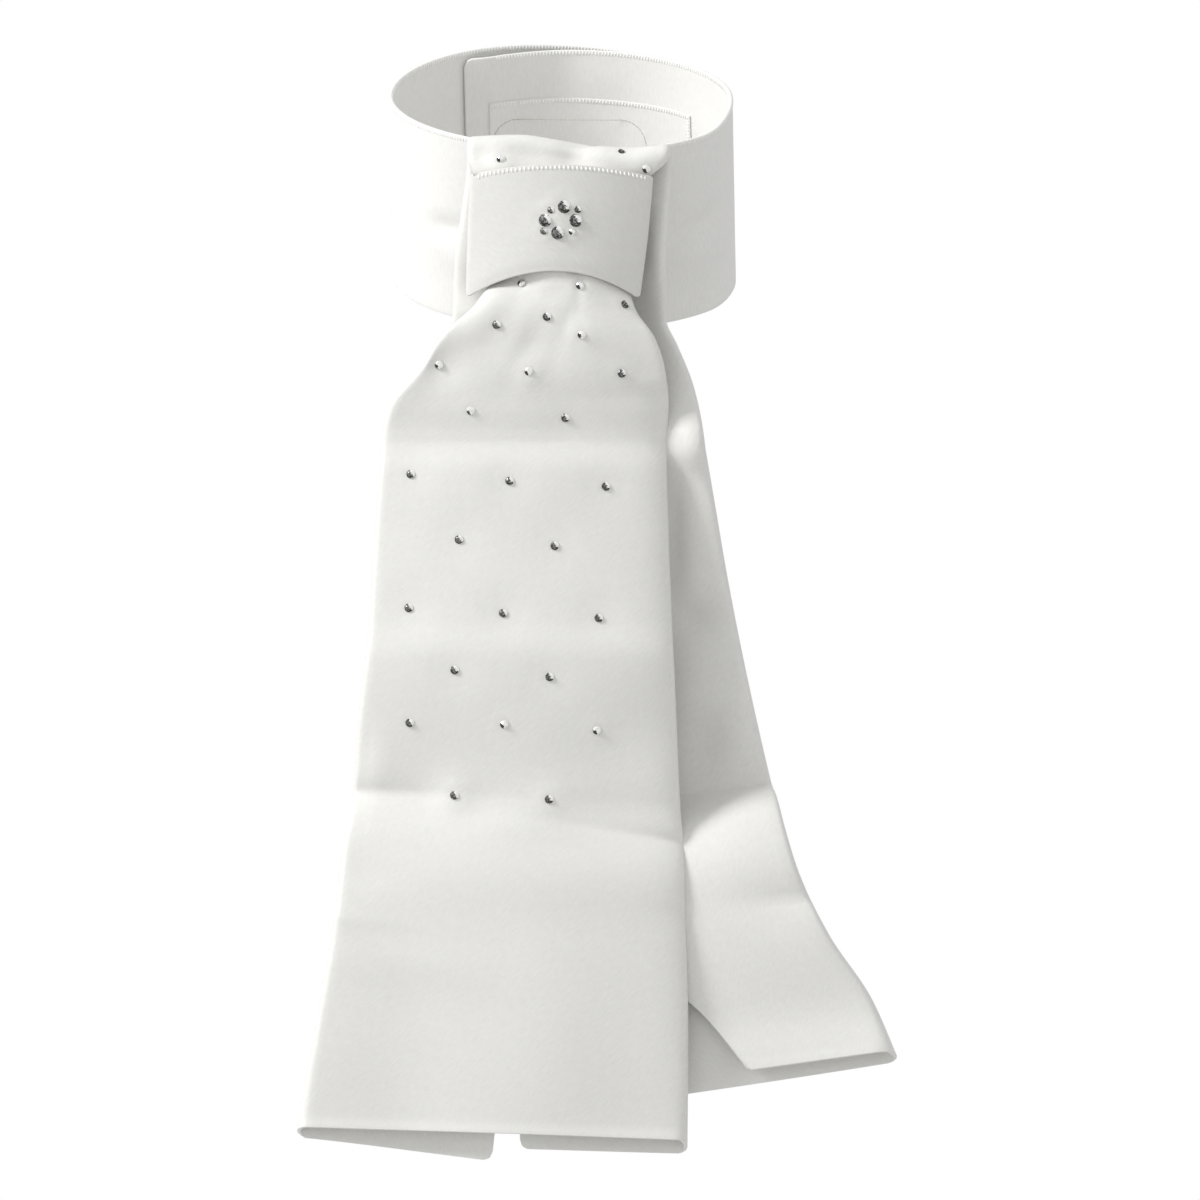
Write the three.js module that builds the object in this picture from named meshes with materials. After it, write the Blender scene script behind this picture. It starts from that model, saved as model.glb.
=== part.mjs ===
// A ready-tied stock tie of white satin, shown as it is worn, in millimetres with +Z up.
// The front faces -Y, and +X is on the right as seen from the front.
// The origin is the middle of the neck opening, halfway up the collar band.

import * as THREE from 'three'

const degrees = Math.PI / 180

// Driving sizes
const COLLAR_HEIGHT = 66
const COLLAR_WALL = 1.6
const COLLAR_TILT = 17.3 * degrees // the back of a worn collar stands higher than its front
const COLLAR_LEAN = 1.4 // sideways shift of the lower edge
const END_CORNER = 3 // rounded top corner of the band's inner end
const SATIN = 1.4 // two layers of satin with interlining
const FACING_WALL = 1.0
const PATCH_WALL = 1.6
const FLAP_CROWN = 0.4 // how much of the face's crown its turned-in flaps follow
const STONE_GAP = 0.3 // between a stone's flat back and the cloth
const FOLD_RADIUS = 5.85 // the strip's bend over the collar's top edge
const FOLD_RIGHT_RISE = 3 // the bend is flatter at its right end
const PLAIN_STEP = 14 // the longest facet along the hanging tails
const GATHER_STEP = 7 // the longest facet where the strip is gathered
const GATHER_REACH = 95 // how far the gathers run below the fold

// The band, by angle round the neck: 0 is the front and positive angles go round by +X.
// Its inner end is at the largest angle, and its outer end overlaps it from the other side.
const BAND_COLUMNS = ['angle', 'radius', 'drop']
const BAND_ROWS = [
  [-213, 60.6, 1.8],
  [-190, 60.6, 0.4],
  [-150, 60.8, -1.0],
  [-90, 59.6, 0],
  [-45, 58.8, 0],
  [0, 58.9, 0.4],
  [32, 60.6, 2.4],
  [52, 61.0, 2.8],
  [75, 58.9, 1.0],
  [92, 57.8, 0],
  [140, 56.6, 0],
  [180, 56.2, 0.4],
  [206, 56.0, 1.0],
  [216, 57.2, 1.4],
]

// Pieces on the band's back, by angle, height from the origin's level and distance from the wall
const FACING = { from: 127.5, to: 208.5, low: -28, high: 15.4, inside: 1.75 }
const PATCH = { from: 154, to: 205, low: -24, high: 24, radius: 58.55 }

// The folded strip, section by section from the front hem up to the fold, then down to the rear hem.
// left and right are the two folded edges, y is their depth, crown is how far the face stands out
// between them, roll is the radius of a folded edge, and the flaps are the widths turned in.
const STRIP_COLUMNS = [
  'leftX', 'leftZ', 'rightX', 'rightZ', 'y', 'crown', 'roll', 'leftFlap', 'rightFlap',
]
const FRONT_TAIL_ROWS = [
  [-88.9, -318.5, 41.8, -322.5, -117.5, 1.0, 1.7, 66, 56],
  [-82.5, -283.4, 42.1, -285.1, -113.4, 2.0, 1.6, 63, 55],
  [-76.4, -248.3, 41.3, -250.0, -109.4, 2.6, 1.6, 59, 53],
  [-73.1, -220.7, 40.6, -220.7, -104.4, 2.6, 1.6, 56, 51],
  [-70.2, -204.5, 39.4, -207.9, -100.6, 2.6, 1.6, 54, 50],
  [-68.2, -179.1, 38.1, -179.1, -100.0, 3.2, 1.6, 52, 48],
  [-66.0, -160.0, 37.3, -160.0, -99.0, 3.4, 1.6, 51, 47],
  [-64.8, -147.6, 36.7, -147.6, -96.0, 3.4, 1.6, 50, 46],
  [-62.8, -116.1, 35.5, -116.1, -91.0, 3.6, 1.6, 47, 44],
  [-61.4, -97.1, 35.0, -97.1, -88.4, 4.0, 1.6, 46, 43],
  [-60.5, -85.5, 35.1, -85.5, -85.6, 3.2, 1.6, 45, 42],
  [-57.8, -74.2, 35.6, -74.2, -87.2, 3.2, 1.6, 43, 40],
  [-47.3, -61.7, 34.2, -61.7, -87.8, 3.8, 1.7, 37, 35],
  [-40.6, -51.2, 30.8, -51.2, -87.4, 4.2, 1.7, 33, 31],
  [-29.4, -41.7, 24.4, -41.7, -84.8, 6.2, 1.7, 24, 22],
  [-21.6, -35.2, 22.3, -35.2, -82.2, 7.6, 1.7, 19, 18],
  [-16.4, -30.5, 20.3, -30.5, -81.6, 7.2, 1.7, 17, 16],
  [-23.9, -16.5, 22.6, -16.5, -81.2, 5.8, 1.7, 22, 20],
  [-25.0, -1, 22.8, -1, -81.0, 4.4, 1.7, 24, 22],
  [-29.6, 4.6, 27.9, 3.8, -80.1, 3.4, 1.7, 28, 27],
]
const FOLD_FRONT = [-31.8, 10.6, 35.8, 11.0, -79.3, 1.2, 1.6, 30, 30]
const FOLD_REAR = [-31.8, 10.6, 36.8, 11.0, -79.3 + 2 * FOLD_RADIUS, 0.4, 1.6, 31, 31]
const REAR_TAIL_ROWS = [
  [-34.1, -10.5, 35.3, -10.5, -67.0, 0, 1.6, 32, 31],
  [-36.0, -22.1, 34.8, -22.1, -66.6, 0, 1.6, 33, 32],
  [-36.7, -42.2, 34.7, -44.9, -66.4, 0, 1.6, 33, 33],
  [-38.4, -55.8, 38.8, -55.2, -67.4, 0.5, 1.6, 35, 36],
  [-41.8, -72.9, 44.7, -71.5, -71.5, 1, 1.6, 40, 40],
  [-44.6, -92.0, 48.2, -90.0, -78.6, 1.2, 1.6, 43, 44],
  [-45.4, -110.0, 51.0, -106.0, -78.4, 1.5, 1.6, 45, 46],
  [-45.8, -140.9, 56.1, -135.5, -76.4, 1.5, 1.6, 47, 49],
  [-44.4, -181.6, 63.8, -173.6, -74.6, 1.5, 1.6, 50, 53],
  [-42.6, -213.7, 70.8, -203.9, -75.4, 1.5, 1.6, 52, 56],
  [-41.4, -229, 74.6, -218, -89.5, 1.5, 1.6, 53, 58],
  [-39.9, -243.5, 78.8, -230.9, -96.0, 1.5, 1.6, 54, 60],
  [-34.1, -267.7, 89.6, -253.4, -99.6, 1.5, 1.7, 56, 62],
  [-24.5, -291.2, 104.1, -274.9, -102.6, 1, 1.8, 58, 61],
  [-10.6, -314.5, 113.4, -295.8, -106.4, 1, 1.9, 60, 52],
]

// How far each part of the section hangs below its hem row: flap edge, flap root, face, the same
// again on the right. The turned-in flaps hang lower at the front and end higher at the rear.
const FRONT_HEM_DROP = [9.0, 3.6, 0.4, 1.0, 4.8, 4.8]
const REAR_HEM_DROP = [-4.0, -4.0, 0, 0, -4.0, -4.5]
const HEM_REACH = 60
const HEM_CORNER = 4.5 // rounded corner of a turned-in flap

// How far the bent top sinks at each place across it
const SAG_COLUMNS = ['x', 'sag']
const SAG_ROWS = [[-34, 0], [-14, -0.7], [-4, 0.5], [12, 2.7], [22, 3.4], [31, 2.0], [37, 1.0]]
const SAG_REACH = 16

// Soft dents of the strip. deep is positive away from the viewer, and turn is the angle of the
// dent's long axis from +X.
const DENT_COLUMNS = ['x', 'z', 'long', 'across', 'turn', 'deep']
const FRONT_DENTS = [
  [4.5, 12, 12, 6, 74, 2.4],
  [-23, 9, 7, 5, 20, -1.0],
  [-12, -51, 17, 4.5, 62, 1.5],
  [-22, -44, 14, 5, 62, -0.7],
  [24, -70, 16, 8, 10, 0.9],
  [28, -186, 26, 15, 20, 1.3],
  [-44, -190, 26, 13, -10, 0.8],
  [-12, -215, 22, 12, 20, -0.9],
  [-68, -232, 12, 6, -12, 0.6],
  [-52, -262, 26, 8, -8, -0.8],
  [-66, -292, 14, 10, 40, 0.8],
  [20, -268, 24, 12, 12, 0.9],
  [-20, -290, 12, 40, 5, -0.7],
  [28, -300, 18, 10, -10, -0.6],
]
const REAR_DENTS = [
  [45, -150, 12, 10, 0, 0.9],
  [50, -190, 8, 18, -8, 2.0],
  [60, -186, 9, 9, 20, -2.4],
  [64, -216, 16, 12, 30, -1.2],
  [86, -262, 24, 14, -35, -0.8],
  [-38, -22, 20, 4, 88, -4.0],
  [35.5, -24, 19, 5, 90, -5.5],
  [-34, -46, 9, 6, 20, -7.0],
]

// Creases that start at an edge and fan out. left and right are their widths on either side, as
// seen along them, and spread is how much wider they get in each millimetre.
const CREASE_COLUMNS = ['x', 'z', 'turn', 'long', 'left', 'right', 'spread', 'deep']
const FRONT_CREASES = [
  [-64, -84.5, 0, 160, 4, 4, 0, 0.9],
  [5, -25, -88, 24, 3.5, 4.5, 0.1, 1.7],
  [5, -49, -20, 26, 5, 4, 0.1, -0.9],
  [-71, -205, 9, 40, 5, 7, 0.22, 2.0],
  [41, -221.5, 172, 46, 7, 7, 0.2, 2.1],
  [-77, -247, -6, 30, 5, 3.5, 0.2, -1.0],
  [42, -246, 176, 16, 4, 4, 0.3, 0.6],
]
const REAR_CREASES = [
  [64.5, -173, 181, 44, 3, 8, 0.1, 3.0],
  [71, -206, 186, 40, 4, 9, 0.2, 3.2],
  [85, -245.5, 184, 30, 4, 7, 0.2, 2.2],
]
const CREASE_ROUNDING = 0.7
const CREASE_START = 4 // how far a crease reaches back past its first point

// The knot wrap: a flat loop round the front tail, from its lower to its upper edge. back is how
// far its back stands out from the folded sides.
const WRAP_COLUMNS = [...STRIP_COLUMNS.slice(0, 7), 'back']
const WRAP_ROWS = [
  [-32.2, -37.2, 25.9, -37.6, -83.2, 8.0, 1.7, 7.6],
  [-31.6, -16, 28.6, -16.4, -82.6, 6.8, 1.7, 7.0],
  [-30.7, 4.4, 30.4, 3.6, -82.0, 5.6, 1.7, 6.4],
]
const WRAP_ARCH = { low: 8.5, high: 3.2, backLow: 5, backHigh: -4 }
const WRAP_BACK_RISE = 0.2 // the share of the half width over which the back stands out
const WRAP_CORNER = { radius: 5, share: 0.6, start: 1 } // its rounded upper left corner
const PANEL_WIDTH = 60 // what that corner's distances are measured on

// Stones: half-widths in mm, then their places in the front view
const STONE_SIZES = { large: 2.25, small: 1.25, tail: 1.5 }
const RING_STONES = [
  { size: 'large', places: [[0.7, -7.0], [-5.7, -11.5], [4.6, -11.6], [-1.5, -15.8]] },
  { size: 'small', places: [[-3.8, -8.1], [5.3, -7.9], [-6.2, -15.2], [3.4, -15.4]] },
]
const FOLD_STONES = [['tail', -20.8, 9.2], ['tail', 28.6, 5.9], ['small', 20.1, 11.4]]
const TAIL_STONE_ROWS = [
  { z: [-33.0, -33.6], x: [-13.6, 6.0] },
  { z: [-46.9, -44.2, -50.3, -40.2], x: [-22.2, -5.1, 6.7, 21.2] },
  { z: [-60.5, -62.6, -63.3], x: [-41.7, -11.3, 20.2] },
  { z: [-76.0, -78.4], x: [-30.9, 1.1] },
  { z: [-97.6, -99.8, -101.7], x: [-51.3, -17.8, 14.8] },
  { z: [-119.6, -121.7], x: [-34.9, -2.5] },
  { z: [-142.7, -144.4, -146.1], x: [-51.9, -19.9, 12.4] },
  { z: [-163.5, -165.8], x: [-36.3, -4.2] },
  { z: [-181.4, -181.8, -183.9], x: [-51.5, -19.5, 11.8] },
  { z: [-206.0, -207.3], x: [-36.4, -4.4] },
]

const lerp = THREE.MathUtils.lerp
const clamp = THREE.MathUtils.clamp

function evenSteps(from, to, count) {
  return Array.from({ length: count + 1 }, (_, i) => lerp(from, to, i / count))
}

// A curve through one column of a table that keeps between its rows' values, and goes on straight
// past both ends.
function throughRows(stations, values) {
  const spans = stations.slice(1).map((s, i) => s - stations[i])
  const slopes = spans.map((span, i) => (values[i + 1] - values[i]) / span)
  const tangents = values.map((_, i) => {
    const before = slopes[i - 1] ?? slopes[0]
    const after = slopes[i] ?? slopes[slopes.length - 1]
    return before * after <= 0 ? 0 : (2 * before * after) / (before + after)
  })
  return (at) => {
    const last = spans.length - 1
    if (at < stations[0]) return values[0] + (at - stations[0]) * slopes[0]
    if (at > stations[last + 1]) return values[last + 1] + (at - stations[last + 1]) * slopes[last]
    let i = 0
    while (i < last && at > stations[i + 1]) i += 1
    const t = (at - stations[i]) / spans[i]
    const rise = tangents[i] * spans[i] * t * (1 - t) ** 2
    const fall = tangents[i + 1] * spans[i] * t * t * (1 - t)
    return values[i] + (values[i + 1] - values[i]) * t * t * (3 - 2 * t) + rise - fall
  }
}

function readTable(columns, rows, stations) {
  const curves = columns.map((_, c) => throughRows(stations, rows.map((row) => row[c])))
  return (at) => Object.fromEntries(columns.map((name, c) => [name, curves[c](at)]))
}

// Distances along a strip's middle line, one for each of its section rows
function stationsOf(rows) {
  const middles = rows.map(([lx, lz, rx, rz, y]) => new THREE.Vector3((lx + rx) / 2, y, (lz + rz) / 2))
  const stations = [0]
  middles.slice(1).forEach((m, i) => stations.push(stations[i] + m.distanceTo(middles[i])))
  return stations
}

// The cloth's wall between two offset copies of a surface. The surface is a grid of points, and
// its outer side is on the right hand of columns crossed with rows.
function wallGeometry(grid, thickness, loop = false) {
  const wide = grid.length
  const high = grid[0].length
  const pick = (i, j) => {
    const column = loop ? (i + wide) % wide : clamp(i, 0, wide - 1)
    return grid[column][clamp(j, 0, high - 1)]
  }
  const positions = []
  const indices = []
  for (const side of [0.5, -0.5]) {
    for (let i = 0; i < wide; i += 1) {
      for (let j = 0; j < high; j += 1) {
        const alongColumns = pick(i + 1, j).clone().sub(pick(i - 1, j))
        const alongRows = pick(i, j + 1).clone().sub(pick(i, j - 1))
        const normal = alongColumns.cross(alongRows).normalize()
        positions.push(...pick(i, j).clone().addScaledVector(normal, side * thickness))
      }
    }
  }
  const outer = (i, j) => (i % wide) * high + j
  const inner = (i, j) => wide * high + outer(i, j)
  const quad = (a, b, c, d) => indices.push(a, b, c, a, c, d)
  const lastColumn = loop ? wide : wide - 1
  for (let i = 0; i < lastColumn; i += 1) {
    for (let j = 0; j < high - 1; j += 1) {
      quad(outer(i, j), outer(i + 1, j), outer(i + 1, j + 1), outer(i, j + 1))
      quad(inner(i, j), inner(i, j + 1), inner(i + 1, j + 1), inner(i + 1, j))
    }
    quad(outer(i, 0), inner(i, 0), inner(i + 1, 0), outer(i + 1, 0))
    quad(outer(i, high - 1), outer(i + 1, high - 1), inner(i + 1, high - 1), inner(i, high - 1))
  }
  if (!loop) {
    const end = wide - 1
    for (let j = 0; j < high - 1; j += 1) {
      quad(outer(0, j), outer(0, j + 1), inner(0, j + 1), inner(0, j))
      quad(outer(end, j), inner(end, j), inner(end, j + 1), outer(end, j + 1))
    }
  }
  const geometry = new THREE.BufferGeometry()
  geometry.setAttribute('position', new THREE.Float32BufferAttribute(positions, 3))
  geometry.setIndex(indices)
  geometry.computeVertexNormals()
  return geometry
}

// The collar band and the pieces on it

const collarAxis = new THREE.Vector3(0, -Math.sin(COLLAR_TILT), Math.cos(COLLAR_TILT))
const collarBack = new THREE.Vector3(0, Math.cos(COLLAR_TILT), Math.sin(COLLAR_TILT))
const bandAt = readTable(BAND_COLUMNS, BAND_ROWS, BAND_ROWS.map((row) => row[0]))

function onCollar(angle, radius, height) {
  const lean = COLLAR_LEAN * (0.5 - height / COLLAR_HEIGHT)
  return new THREE.Vector3(radius * Math.sin(angle * degrees) + lean, 0, 0)
    .addScaledVector(collarBack, -radius * Math.cos(angle * degrees))
    .addScaledVector(collarAxis, height)
}

function neckBand() {
  const innerEnd = BAND_ROWS[BAND_ROWS.length - 1][0]
  const angles = [...evenSteps(BAND_ROWS[0][0], innerEnd - 8, 54), innerEnd - 3, innerEnd - 1, innerEnd]
  const shares = evenSteps(0, 1, 3)
  const grid = angles.map((angle) => {
    const { radius, drop } = bandAt(angle)
    const toEnd = clamp((innerEnd - angle) * degrees * radius, 0, END_CORNER)
    const corner = END_CORNER - Math.sqrt(END_CORNER ** 2 - (END_CORNER - toEnd) ** 2)
    return shares.map((share) => {
      const height = lerp(-COLLAR_HEIGHT / 2 - 0.2 * drop, COLLAR_HEIGHT / 2 - drop - corner, share)
      return onCollar(angle, radius, height)
    })
  })
  return wallGeometry(grid, COLLAR_WALL)
}

function backFacing() {
  const grid = evenSteps(FACING.from, FACING.to, 14).map((angle) =>
    [FACING.low, FACING.high].map((height) =>
      onCollar(angle, bandAt(angle).radius - FACING.inside, height)))
  return wallGeometry(grid, FACING_WALL)
}

function closurePatch() {
  const grid = evenSteps(PATCH.from, PATCH.to, 10).map((angle) =>
    [PATCH.low, PATCH.high].map((height) => onCollar(angle, PATCH.radius, height)))
  return wallGeometry(grid, PATCH_WALL)
}

// The folded strip

function foldRows() {
  return evenSteps(0, 180, 6).map((angle) => {
    const share = angle / 180
    const row = FOLD_FRONT.map((value, c) => lerp(value, FOLD_REAR[c], share))
    row[1] += FOLD_RADIUS * Math.sin(angle * degrees)
    row[3] += FOLD_RIGHT_RISE * Math.sin(angle * degrees)
    row[4] = FOLD_FRONT[4] + FOLD_RADIUS * (1 - Math.cos(angle * degrees))
    return row
  })
}

const stripRows = [...FRONT_TAIL_ROWS, ...foldRows(), ...REAR_TAIL_ROWS]
const stripStations = stationsOf(stripRows)
const stripAt = readTable(STRIP_COLUMNS, stripRows, stripStations)
const foldStart = stripStations[FRONT_TAIL_ROWS.length]
const foldTop = stripStations[FRONT_TAIL_ROWS.length + 3]
const foldEnd = stripStations[FRONT_TAIL_ROWS.length + 6]
const stripLength = stripStations[stripStations.length - 1]

// A section's middle, its direction across and its direction inward, from the face to the flaps
function frameOf(table, at) {
  const row = table(at)
  const step = 0.5
  const middle = (s) => new THREE.Vector3((s.leftX + s.rightX) / 2, s.y, (s.leftZ + s.rightZ) / 2)
  const across = new THREE.Vector3(row.rightX - row.leftX, 0, row.rightZ - row.leftZ)
  const half = across.length() / 2
  across.normalize()
  const along = middle(table(at + step)).sub(middle(table(at - step)))
  const inward = along.cross(across).normalize()
  return { ...row, half, middle: middle(row), across, inward }
}

// Half the width of the crowned face, and the angle at which it runs into its folded edges
function faceEdge({ half, roll, crown }) {
  let flat = half - roll
  let slope = Math.atan((2 * crown) / flat)
  for (let i = 0; i < 3; i += 1) {
    flat = half - roll * (1 - Math.sin(slope))
    slope = Math.atan((2 * crown) / flat)
  }
  return { flat, slope }
}

function crownAt(side, flat, crown) {
  return crown * Math.max(0, 1 - (side / flat) ** 2)
}

// A place on a folded edge, which turns on from the face's slope to the back: share is 0 at the
// back and 1 at the face, and hand is -1 on the left and 1 on the right
function onFoldedEdge(share, hand, { roll }, { flat, slope }) {
  const turn = Math.PI / 2 - share * (Math.PI - slope)
  const root = flat - roll * Math.sin(slope)
  return [hand * (root + roll * Math.cos(turn)), roll * (Math.cos(slope) + Math.sin(turn))]
}

// A place in the folded section. q counts from 0 at the left flap's free edge: 1 and 2 are the ends
// of the left folded edge, 3 and 4 of the right one, and 5 is the right flap's free edge.
function inSection(q, section) {
  const edge = faceEdge(section)
  const { half, roll, crown, leftFlap, rightFlap } = section
  if (q >= 1 && q < 2) return onFoldedEdge(q - 1, -1, section, edge)
  if (q > 3 && q <= 4) return onFoldedEdge(4 - q, 1, section, edge)
  if (q >= 2 && q <= 3) {
    const side = edge.flat * (2 * q - 5)
    return [side, -crownAt(side, edge.flat, crown)]
  }
  const root = edge.flat - roll * Math.sin(edge.slope)
  const side = q < 1 ? lerp(leftFlap - half, -root, q) : lerp(root, half - rightFlap, q - 4)
  return [side, roll * (1 + Math.cos(edge.slope)) - crownAt(side, edge.flat, FLAP_CROWN * crown)]
}

// A row's place and direction, and how far a point is along it and aside of it
function besideRow(columns, row, x, z) {
  const named = Object.fromEntries(columns.map((name, c) => [name, row[c]]))
  const turn = named.turn * degrees
  const along = (x - named.x) * Math.cos(turn) + (z - named.z) * Math.sin(turn)
  const aside = (z - named.z) * Math.cos(turn) - (x - named.x) * Math.sin(turn)
  return { ...named, along, aside }
}

function dentDepth(row, x, z) {
  const { along, aside, long, across, deep } = besideRow(DENT_COLUMNS, row, x, z)
  return deep * Math.exp(-((along / long) ** 2) - (aside / across) ** 2)
}

function creaseDepth(row, x, z) {
  const { along, aside, long, left, right, spread, deep } = besideRow(CREASE_COLUMNS, row, x, z)
  const width = (aside > 0 ? left : right) + spread * Math.max(along, 0)
  const away = Math.hypot(aside, CREASE_ROUNDING) - CREASE_ROUNDING
  const start = clamp(1 + along / CREASE_START, 0, 1)
  return deep * start * Math.exp(-((along / long) ** 2) - away / width)
}

// How far the dents and creases press the strip away from the viewer
function pressed(front, x, z) {
  const dents = front ? FRONT_DENTS : REAR_DENTS
  const creases = front ? FRONT_CREASES : REAR_CREASES
  return dents.reduce((sum, row) => sum + dentDepth(row, x, z), 0)
    + creases.reduce((sum, row) => sum + creaseDepth(row, x, z), 0)
}

// How much a rounded corner takes off, by the distance from the edge beside it
function cornerLift(distance, radius) {
  const short = radius - clamp(distance, 0, radius)
  return radius - Math.sqrt(radius ** 2 - short ** 2)
}

const hemAt = [FRONT_HEM_DROP, REAR_HEM_DROP].map((drops) => throughRows([0, 1, 2, 3, 4, 5], drops))
const sagAt = readTable(SAG_COLUMNS, SAG_ROWS, SAG_ROWS.map((row) => row[0]))

function onStrip(q, at) {
  const { leftFlap, rightFlap } = stripAt(at)
  const toFreeEdge = q < 1 ? q * leftFlap : (5 - q) * rightFlap
  const corner = q < 1 || q > 4 ? cornerLift(toFreeEdge, HEM_CORNER) : 0
  const nearFront = Math.max(0, 1 - at / HEM_REACH)
  const nearRear = Math.max(0, 1 - (stripLength - at) / HEM_REACH)
  const front = at < foldTop
  const hem = (hemAt[0](q) - corner) * nearFront + (hemAt[1](q) - corner) * nearRear
  const section = frameOf(stripAt, front ? at - hem : at + hem)
  const [side, depth] = inSection(q, section)
  const place = section.middle.clone().addScaledVector(section.across, side)
  const dent = (front ? 1 : -1) * pressed(front, place.x, place.z)
  const sag = sagAt(place.x).sag * Math.exp(-(((at - foldTop) / SAG_REACH) ** 2))
  place.addScaledVector(section.inward, depth + dent)
  place.z -= sag
  return place
}

function tailStrip() {
  const leftFlapPlaces = [0, 0.06, 0.5, 1]
  const rightFlapPlaces = leftFlapPlaces.map((q) => 5 - q).reverse()
  const places = [
    ...leftFlapPlaces, ...evenSteps(1, 2, 3).slice(1), ...evenSteps(2, 3, 11).slice(1),
    ...evenSteps(3, 4, 3).slice(1), ...rightFlapPlaces.slice(1),
  ]
  const stations = [0]
  stripStations.slice(1).forEach((end, i) => {
    const start = stripStations[i]
    const gathered = start > foldStart - GATHER_REACH && start < foldEnd
    const count = Math.ceil((end - start) / (gathered ? GATHER_STEP : PLAIN_STEP))
    stations.push(...evenSteps(start, end, count).slice(1))
  })
  return wallGeometry(places.map((q) => stations.map((at) => onStrip(q, at))), SATIN)
}

// The knot wrap

const wrapStations = stationsOf(WRAP_ROWS)
const wrapAt = readTable(WRAP_COLUMNS, WRAP_ROWS, wrapStations)
const wrapHeight = wrapStations[wrapStations.length - 1]

// A place round the wrap: 0 to 1 is the front panel, 1 to 2 and 3 to 4 its sides, 2 to 3 its back
function roundWrap(q, section) {
  const edge = faceEdge(section)
  if (q > 1 && q <= 2) return onFoldedEdge(2 - q, 1, section, edge)
  if (q >= 3) return onFoldedEdge(q - 3, -1, section, edge)
  if (q <= 1) {
    const side = edge.flat * (2 * q - 1)
    return [side, -crownAt(side, edge.flat, section.crown)]
  }
  const { roll, back } = section
  const root = edge.flat - roll * Math.sin(edge.slope)
  const rise = THREE.MathUtils.smoothstep((1 - Math.abs(5 - 2 * q)) / WRAP_BACK_RISE, 0, 1)
  return [root * (5 - 2 * q), roll * (1 + Math.cos(edge.slope)) + back * rise]
}

// The wrap's two edges: arched over the front panel and straight across the back
function wrapEdges(q) {
  const arch = q <= 1 ? 1 - (2 * q - 1) ** 2 : 0
  const towardBack = 1 - Math.cos((clamp(Math.min(q - 1, 4 - q), 0, 1) * Math.PI) / 2)
  const toLeftEdge = (q <= 1 ? q : 4 - q) * PANEL_WIDTH + WRAP_CORNER.start
  const corner = q <= 1 || q > 3 ? WRAP_CORNER.share * cornerLift(toLeftEdge, WRAP_CORNER.radius) : 0
  return [
    WRAP_ARCH.low * arch + WRAP_ARCH.backLow * towardBack,
    wrapHeight + WRAP_ARCH.high * arch + WRAP_ARCH.backHigh * towardBack - corner,
  ]
}

function onWrap(q, share) {
  const [low, high] = wrapEdges(q)
  const section = frameOf(wrapAt, lerp(low, high, share))
  const [side, depth] = roundWrap(q, section)
  return section.middle.clone()
    .addScaledVector(section.across, side)
    .addScaledVector(section.inward, depth)
}

function knotWrap() {
  const places = [
    ...evenSteps(0, 1, 12), ...evenSteps(1, 2, 4).slice(1),
    ...evenSteps(2, 3, 8).slice(1), ...evenSteps(3, 4, 4).slice(1, -1),
  ]
  const shares = evenSteps(0, 1, 5)
  return wallGeometry(places.map((q) => shares.map((share) => onWrap(q, share))), SATIN, true)
}

// Stones

function stoneGeometry(halfWidth, tiers) {
  const height = halfWidth * 0.62
  const profile = [[0, 0], [halfWidth * 0.9, 0], [halfWidth, height * 0.18]]
  if (tiers > 1) profile.push([halfWidth * 0.8, height * 0.68])
  profile.push([halfWidth * 0.5, height], [0, height])
  const lathe = new THREE.LatheGeometry(profile.map(([r, h]) => new THREE.Vector2(r, h)), 8)
  return lathe.rotateX(Math.PI / 2)
}

// Where a stone rests on a piece's front, found by looking along +Y at a place in the front view:
// the points under its rim give the direction that it faces and how far it has to stand out.
function seatOn(mesh, x, z, halfWidth) {
  const look = (px, pz) => {
    const ray = new THREE.Raycaster(new THREE.Vector3(px, -300, pz), new THREE.Vector3(0, 1, 0))
    return ray.intersectObject(mesh)[0]?.point
  }
  const centre = look(x, z)
  const rim = evenSteps(0, 360, 12).slice(1)
    .map((turn) => look(x + halfWidth * Math.cos(turn * degrees), z + halfWidth * Math.sin(turn * degrees)))
    .map((point) => (point && Math.abs(point.y - centre.y) < 2 * halfWidth ? point : centre))
  const normal = new THREE.Vector3()
  rim.forEach((point, i) => {
    const next = rim[(i + 1) % rim.length]
    normal.add(point.clone().sub(centre).cross(next.clone().sub(centre)))
  })
  normal.normalize()
  const proud = Math.max(...rim.map((point) => point.clone().sub(centre).dot(normal)), 0)
  return { point: centre.addScaledVector(normal, proud + STONE_GAP), normal }
}

function addStone(name, size, mesh, [x, z]) {
  const halfWidth = STONE_SIZES[size]
  const seat = seatOn(mesh, x, z, halfWidth)
  const stone = add(name, stoneGeometry(halfWidth, size === 'large' ? 2 : 1), crystal)
  stone.position.copy(seat.point)
  stone.quaternion.setFromUnitVectors(new THREE.Vector3(0, 0, 1), seat.normal)
}

// Materials

const whiteSatin = new THREE.MeshStandardMaterial({ color: 0xf0f0ec, roughness: 0.42, metalness: 0 })
const closureTape = new THREE.MeshStandardMaterial({ color: 0xe8e8e4, roughness: 0.9, metalness: 0 })
const crystal = new THREE.MeshStandardMaterial({ color: 0xc9ced6, roughness: 0.05, metalness: 0.9 })

const stockTie = new THREE.Group()

function add(name, geometry, material) {
  const mesh = new THREE.Mesh(geometry, material)
  mesh.name = name
  stockTie.add(mesh)
  return mesh
}

add('neck_band', neckBand(), whiteSatin)
add('back_facing', backFacing(), whiteSatin)
add('closure_patch', closurePatch(), closureTape)
const strip = add('tail_strip', tailStrip(), whiteSatin)
const wrap = add('knot_wrap', knotWrap(), whiteSatin)

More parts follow.
